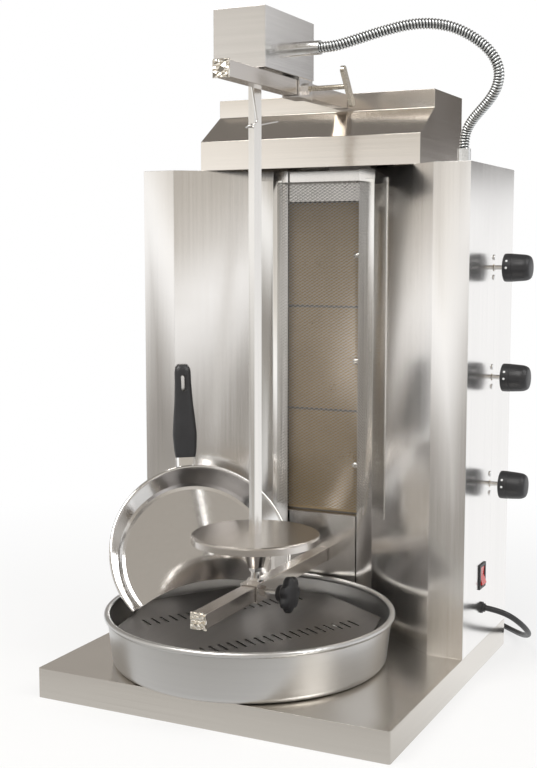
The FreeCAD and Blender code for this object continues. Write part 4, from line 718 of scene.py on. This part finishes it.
def star_grip():
    """The lobed knob. Its radius at an angle a is the full one, less a hollow that follows the
    cosine of seven times a, and the hollows fade towards the middle of its domed face."""
    profile = eased(STAR_PROFILE, 7, 0.42)
    middle = np.array([0.0, SPIT_Y, ARM_Z])
    away = turned(profile, STAR_TURNS, middle, X_AXIS, Y_AXIS, Z_AXIS) - middle
    hollow = (0.5 - 0.5 * np.cos(STAR_LOBES * full_turn(STAR_TURNS))) ** 1.6
    reach = np.clip((profile[:, 0] - STAR_HUB_R) / (STAR_R - STAR_HUB_R), 0, 1) ** 1.2
    shrink = 1 - STAR_HOLLOW * reach[:, None] * hollow[None]
    away[..., 1:] *= shrink[..., None]
    faces = grid_faces(len(profile), STAR_TURNS, close_columns=True)
    knob = new_piece("star_grip", middle + away, faces, finishes["knob"], "arm_screw",
                     KNOB_SHARP)
    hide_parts("star_knob")


star_grip()

VALVE_Y = 0.150
KNOB_X0 = 0.266
KNOB_LEVELS = {"lower": 0.264, "middle": 0.417, "upper": 0.571}
KNOB_TURNS = 96
KNOB_HOLLOWS = 12
KNOB_HOLLOW = 0.012
# From the panel's side, over the skirt, its groove and the barrel, to the end: radius, distance
KNOB_PROFILE = [
    (0.0, 0.0), (0.0185, 0.0), (0.0197, 0.0008), (0.0196, 0.0118), (0.0190, 0.0121),
    (0.0190, 0.0127), (0.0194, 0.0130), (0.0182, 0.0310), (0.0150, 0.0368),
    (0.0070, 0.0380), (0.0, 0.0380)]
# The marks: their turns about the knob's axis in degrees, and how they lie on the skirt
DOT_LIFTS = (0.0, 29.0)
DOT_R = 0.0017
DOT_FROM_PANEL = 0.0062
DOT_SKIRT_R = 0.0197
DOT_BASE_R = 0.01965


def gas_knob(level, z):
    """A turned knob with a skirt, a fine groove, a barrel with shallow finger hollows and a
    domed end, and two round white marks on the skirt."""
    profile = eased(KNOB_PROFILE, 6, 0.35)
    middle = np.array([KNOB_X0, VALVE_Y, z])
    away = turned(profile, KNOB_TURNS, middle, X_AXIS, -Y_AXIS, Z_AXIS) - middle
    reach = profile[:, 1]
    barrel = np.clip((reach - 0.0135) / 0.006, 0, 1) * np.clip((0.0372 - reach) / 0.004, 0, 1)
    hollow = (0.5 + 0.5 * np.cos(KNOB_HOLLOWS * full_turn(KNOB_TURNS))) ** 3
    away[..., 1:] *= (1 - KNOB_HOLLOW * barrel[:, None] * hollow[None])[..., None]
    faces = grid_faces(len(profile), KNOB_TURNS, close_columns=True)
    knob = new_piece("gas_knob_grip_" + level, middle + away, faces, finishes["knob"],
                     "knob_" + level, KNOB_SHARP)
    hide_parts("gas_knob_" + level)
    for number, lift in enumerate(DOT_LIFTS):
        mark_dot("knob_dot_%s_%d" % (level, number), middle, lift, "knob_" + level)


def mark_dot(name, middle, lift, body):
    """A round mark on the skirt: rings of points about its middle, laid on the skirt's
    cylinder and raised by a hair at the middle."""
    rings = np.array([1.0, 1.0, 0.7, 0.35, 0.0])
    raise_by = np.array([-0.0004, 0.00004, 0.0001, 0.00012, 0.00012])
    angle = full_turn(20)
    along = DOT_FROM_PANEL + rings[:, None] * DOT_R * np.cos(angle)
    around = math.radians(lift) + rings[:, None] * DOT_R * np.sin(angle) / DOT_SKIRT_R
    radius = DOT_BASE_R + raise_by[:, None] + 0 * angle
    points = np.stack([middle[0] + along, middle[1] - radius * np.cos(around),
                       middle[2] + radius * np.sin(around)], axis=-1)
    faces = grid_faces(len(rings), len(angle), close_columns=True)
    new_piece(name, points, faces, finishes["mark"], body)


for level, z in KNOB_LEVELS.items():
    gas_knob(level, z)

# --------------------------------------------------------------- scoop handle

SCOOP_MIDDLE = np.array([-0.1205, -0.0318, 0.1631])
SCOOP_R = 0.1295
SCOOP_AZIMUTH = math.radians(-51.1)
SCOOP_LEAN = math.radians(27.3)
HANDLE_ANGLE = math.radians(94.6)
GRIP_END = np.array([-0.1868, 0.0327, 0.4224])
TANG_L = 0.0175
TANG_DROP = 0.010
GRIP_L = 0.137
GRIP_STEPS = 60
GRIP_AROUND = 56
GRIP_POWER = 2 / 2.7
# Half widths and half thicknesses in millimetres at shares of the grip's length
GRIP_SHARES = [0.0, 0.02, 0.10, 0.25, 0.42, 0.60, 0.80, 0.93, 0.98, 1.0]
GRIP_WIDTHS = [14.6, 15.4, 16.8, 18.0, 16.2, 13.8, 12.3, 12.1, 10.6, 6.5]
GRIP_DEPTHS = [8.4, 9.0, 9.6, 9.8, 9.2, 8.4, 7.4, 6.9, 5.8, 3.4]
SLOT_SHARE = 0.80
SLOT_HALF_RUN = 0.0085
SLOT_R = 0.0036
SLOT_REACH = 0.02


def scoop_axes():
    """The scoop's own directions: to the right, up along its mouth, and out of its mouth."""
    lean = math.cos(SCOOP_LEAN)
    out = np.array([math.cos(SCOOP_AZIMUTH) * lean, math.sin(SCOOP_AZIMUTH) * lean, math.sin(SCOOP_LEAN)])
    right = np.array([-math.sin(SCOOP_AZIMUTH), math.cos(SCOOP_AZIMUTH), 0.0])
    return right, np.cross(out, right), out


def scoop_grip():
    """The black handle. Along it, from 0 at the tang to 1 at its tip, the half width and half
    thickness follow smooth curves through a few sizes, and each section is a superellipse. A
    rounded slot is cut through it near the tip."""
    right, up, out = scoop_axes()
    root = SCOOP_MIDDLE + SCOOP_R * (right * math.cos(HANDLE_ANGLE) + up * math.sin(HANDLE_ANGLE))
    root = root - out * TANG_DROP
    heading = unit(GRIP_END - root)
    side = unit(right - heading * (right @ heading))
    flat = np.cross(heading, side)
    start = root + heading * TANG_L
    t = np.concatenate([[0.0], np.linspace(0.0, 1.0, GRIP_STEPS), [1.0]])
    half_w = smooth_sizes(t, GRIP_WIDTHS)
    half_t = smooth_sizes(t, GRIP_DEPTHS)
    half_w[[0, -1]] = half_t[[0, -1]] = 0.0
    angle = full_turn(GRIP_AROUND)
    c = np.sign(np.cos(angle)) * np.abs(np.cos(angle)) ** GRIP_POWER
    s = np.sign(np.sin(angle)) * np.abs(np.sin(angle)) ** GRIP_POWER
    points = (start + heading * (t * GRIP_L)[:, None])[:, None]
    points = points + side * (half_w[:, None] * c)[..., None] + flat * (half_t[:, None] * s)[..., None]
    faces = grid_faces(len(t), len(angle), close_columns=True)
    grip = new_piece("scoop_grip", points, faces, finishes["grip"], "scoop", 60.0)
    cut_slot(grip, start + heading * GRIP_L * SLOT_SHARE, side, heading, flat)
    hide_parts("scoop_handle")


def smooth_sizes(t, sizes):
    """The sizes in metres at the shares t of the grip: straight lines between the given ones
    at 241 even steps, averaged over a soft window of 17 steps, with the ends carried on."""
    dense = np.linspace(0, 1, 241)
    kernel = np.hanning(17) / np.hanning(17).sum()
    plain = np.interp(dense, GRIP_SHARES, np.array(sizes) / 1000)
    padded = np.pad(plain, len(kernel) // 2, mode="edge")
    return np.interp(t, dense, np.convolve(padded, kernel, mode="valid"))


def cut_slot(grip, centre, side, heading, flat):
    """A through slot with round ends: a stadium outline drawn out through the handle."""
    angle = full_turn(32)
    across = SLOT_R * np.cos(angle)
    along = SLOT_R * np.sin(angle) + np.sign(np.sin(angle)) * SLOT_HALF_RUN
    outline = centre + across[:, None] * side + along[:, None] * heading
    middle = outline.mean(axis=0) + np.zeros_like(outline)
    reach = flat * SLOT_REACH
    points = np.stack([middle - reach, outline - reach, outline + reach, middle + reach])
    faces = grid_faces(4, len(angle), close_columns=True)
    cutter = new_piece("slot_cutter", points, faces, finishes["grip"], ROOT)
    cut = grip.modifiers.new("hanging_slot", "BOOLEAN")
    cut.object = cutter
    cut.operation = "DIFFERENCE"
    cut.solver = "EXACT"
    bpy.context.view_layer.update()
    finished = bpy.data.meshes.new_from_object(grip.evaluated_get(bpy.context.evaluated_depsgraph_get()))
    grip.modifiers.clear()
    grip.data = finished
    grip.data.set_sharp_from_angle(angle=math.radians(KNOB_SHARP))
    bpy.data.objects.remove(cutter)


scoop_grip()

# --------------------------------------------------------- studio and picture


# The floor's half width, front, back and height, and the strengths that rays meet in the room
FLOOR_HALF_W = 6.0
FLOOR_FRONT = -1.05
FLOOR_BACK = 7.0
FLOOR_Z = -0.0002
LAMP_AIM = (0, 0, 0.4)
EVEN_LIGHT = 0.6
MIRRORED_LIGHT = 1.2


def studio_floor():
    """A pale sweep under the object that ends a little way in front of it. Camera and
    transmission rays meet white on it, less so near the object, which keeps its shadow.
    Glossy rays meet white behind the object and a warm grey in front of it."""
    ends = [(-FLOOR_HALF_W, FLOOR_FRONT), (FLOOR_HALF_W, FLOOR_FRONT),
            (FLOOR_HALF_W, FLOOR_BACK), (-FLOOR_HALF_W, FLOOR_BACK)]
    points = [(x, y, FLOOR_Z) for x, y in ends]
    mesh = bpy.data.meshes.new("studio_floor")
    mesh.from_pydata(points, [], [(0, 1, 2, 3)])
    floor = in_scene("studio_floor", mesh)
    material = bpy.data.materials.new("studio_floor")
    material.use_nodes = True
    tree = material.node_tree
    tree.nodes.clear()
    place = placed(tree)
    depth = graph_node(tree, "ShaderNodeSeparateXYZ", {0: place}).outputs[1]
    far = graph_node(tree, "ShaderNodeVectorMath", {0: place}, operation="LENGTH").outputs["Value"]
    plain = spread_out(tree, far, 0.4, 1.3, 0.72, 1.0)
    mirrored = spread_out(tree, depth, -0.65, 0.1, 0.0, 1.0)
    mirrored = colours_along(tree, mirrored, (0.0, (0.33, 0.31, 0.28)), (1.0, (1.0, 1.0, 1.0)))
    seen, glossy = picture_rays(tree)
    seen = calc(tree, "MULTIPLY", seen, plain)
    matt = graph_node(tree, "ShaderNodeBsdfDiffuse", {"Color": (0.80, 0.78, 0.75, 1)}).outputs[0]
    white = graph_node(tree, "ShaderNodeEmission", {"Color": (1, 1, 1, 1), "Strength": 1.0}).outputs[0]
    dimmed = graph_node(tree, "ShaderNodeEmission", {"Color": mirrored, "Strength": 1.0}).outputs[0]
    surface = blended(tree, glossy, blended(tree, seen, matt, white), dimmed)
    graph_node(tree, "ShaderNodeOutputMaterial", {"Surface": surface})
    mesh.materials.append(material)


def studio_room():
    """The world. Camera and transmission rays meet white. Glossy rays meet a studio: a white
    band round the horizon with a dim ceiling above and a grey floor below. The colour follows
    the height of the ray's direction, with one run of colours for the front, one for the back
    and one colour for the right-hand wall. A warm patch dims what lies above the band in front,
    apart from its far left. All other rays meet an even pale light."""
    world = bpy.data.worlds.new("studio_room")
    bpy.context.scene.world = world
    world.use_nodes = True
    tree = world.node_tree
    tree.nodes.clear()
    direction = graph_node(tree, "ShaderNodeTexCoord").outputs["Generated"]
    parts = graph_node(tree, "ShaderNodeSeparateXYZ", {0: direction})
    x, y, z = parts.outputs
    height = calc(tree, "MULTIPLY_ADD", z, 0.5, 0.5)
    before = colours_along(tree, height, (0.36, (0.20, 0.19, 0.175)), (0.42, (0.26, 0.24, 0.22)),
                           (0.455, (0.46, 0.44, 0.415)), (0.48, (0.80, 0.79, 0.775)),
                           (0.50, (1.0, 1.0, 1.0)), (0.54, (1.0, 0.99, 0.97)), (0.565, (0.66, 0.62, 0.56)),
                           (0.60, (0.52, 0.49, 0.45)), (0.80, (0.44, 0.42, 0.395)),
                           (1.0, (0.25, 0.24, 0.225)))
    patch = calc(tree, "MULTIPLY", spread_out(tree, x, -0.47, -0.37, 0.0, 0.62),
                 spread_out(tree, z, 0.055, 0.08, 0.0, 1.0))
    before = tinted(tree, patch, before, (0.30, 0.265, 0.22, 1))
    behind = colours_along(tree, height, (0.40, (0.84, 0.84, 0.84)), (0.525, (0.84, 0.84, 0.84)),
                           (0.533, (0.08, 0.07, 0.066)), (0.575, (0.12, 0.11, 0.10)),
                           (0.63, (0.38, 0.355, 0.33)), (0.68, (0.42, 0.40, 0.375)),
                           (0.78, (0.19, 0.175, 0.16)), (1.0, (0.16, 0.15, 0.14)))
    facing = spread_out(tree, y, -0.3, 0.3, 0.0, 1.0)
    room = tinted(tree, facing, before, behind)
    right_wall = spread_out(tree, x, 0.40, 0.46, 0.0, 0.95)
    low = spread_out(tree, z, 0.3, 0.5, 1.0, 0.0)
    back = spread_out(tree, y, 0.0, 0.3, 0.0, 1.0)
    right_wall = calc(tree, "MULTIPLY", calc(tree, "MULTIPLY", right_wall, low), back)
    room = tinted(tree, right_wall, room, (0.80, 0.80, 0.81, 1))
    seen, glossy = picture_rays(tree)
    even = graph_node(tree, "ShaderNodeBackground", {0: (0.97, 0.985, 1.0, 1), 1: EVEN_LIGHT}).outputs[0]
    studio = graph_node(tree, "ShaderNodeBackground", {0: room, 1: MIRRORED_LIGHT}).outputs[0]
    white = graph_node(tree, "ShaderNodeBackground", {0: (1, 1, 1, 1), 1: 1.0}).outputs[0]
    surface = blended(tree, seen, blended(tree, glossy, even, studio), white)
    graph_node(tree, "ShaderNodeOutputWorld", {"Surface": surface})


def soft_lamp(name, place, size, power, colour=(1, 1, 1)):
    """A rectangular lamp that faces the middle of the object."""
    lamp = bpy.data.lights.new(name, "AREA")
    lamp.shape = "RECTANGLE"
    lamp.size, lamp.size_y = size
    lamp.energy = power
    lamp.color = colour
    holder = in_scene(name, lamp)
    holder.location = place
    aim = np.array(LAMP_AIM) - np.array(place)
    across = math.hypot(aim[0], aim[1])
    holder.rotation_euler = (math.atan2(across, -aim[2]), 0, math.atan2(-aim[0], aim[1]))


def take_picture():
    """The camera at the photograph's place, and the plain view settings."""
    camera = bpy.data.cameras.new("picture_camera")
    camera.lens = CAMERA_LENS
    camera.sensor_width = SENSOR
    holder = in_scene("picture_camera", camera)
    holder.location = CAMERA_PLACE
    holder.rotation_euler = (math.radians(90 - CAMERA_PITCH), 0, math.radians(CAMERA_YAW))
    bpy.context.scene.camera = holder
    bpy.context.scene.view_settings.view_transform = "Standard"


studio_floor()
studio_room()
soft_lamp("front_softbox", (-0.5, -1.9, 2.7), (2.0, 1.4), 60.0, (1.0, 0.99, 0.97))
soft_lamp("right_softbox", (2.1, -0.3, 2.4), (1.2, 1.6), 26.0)
take_picture()
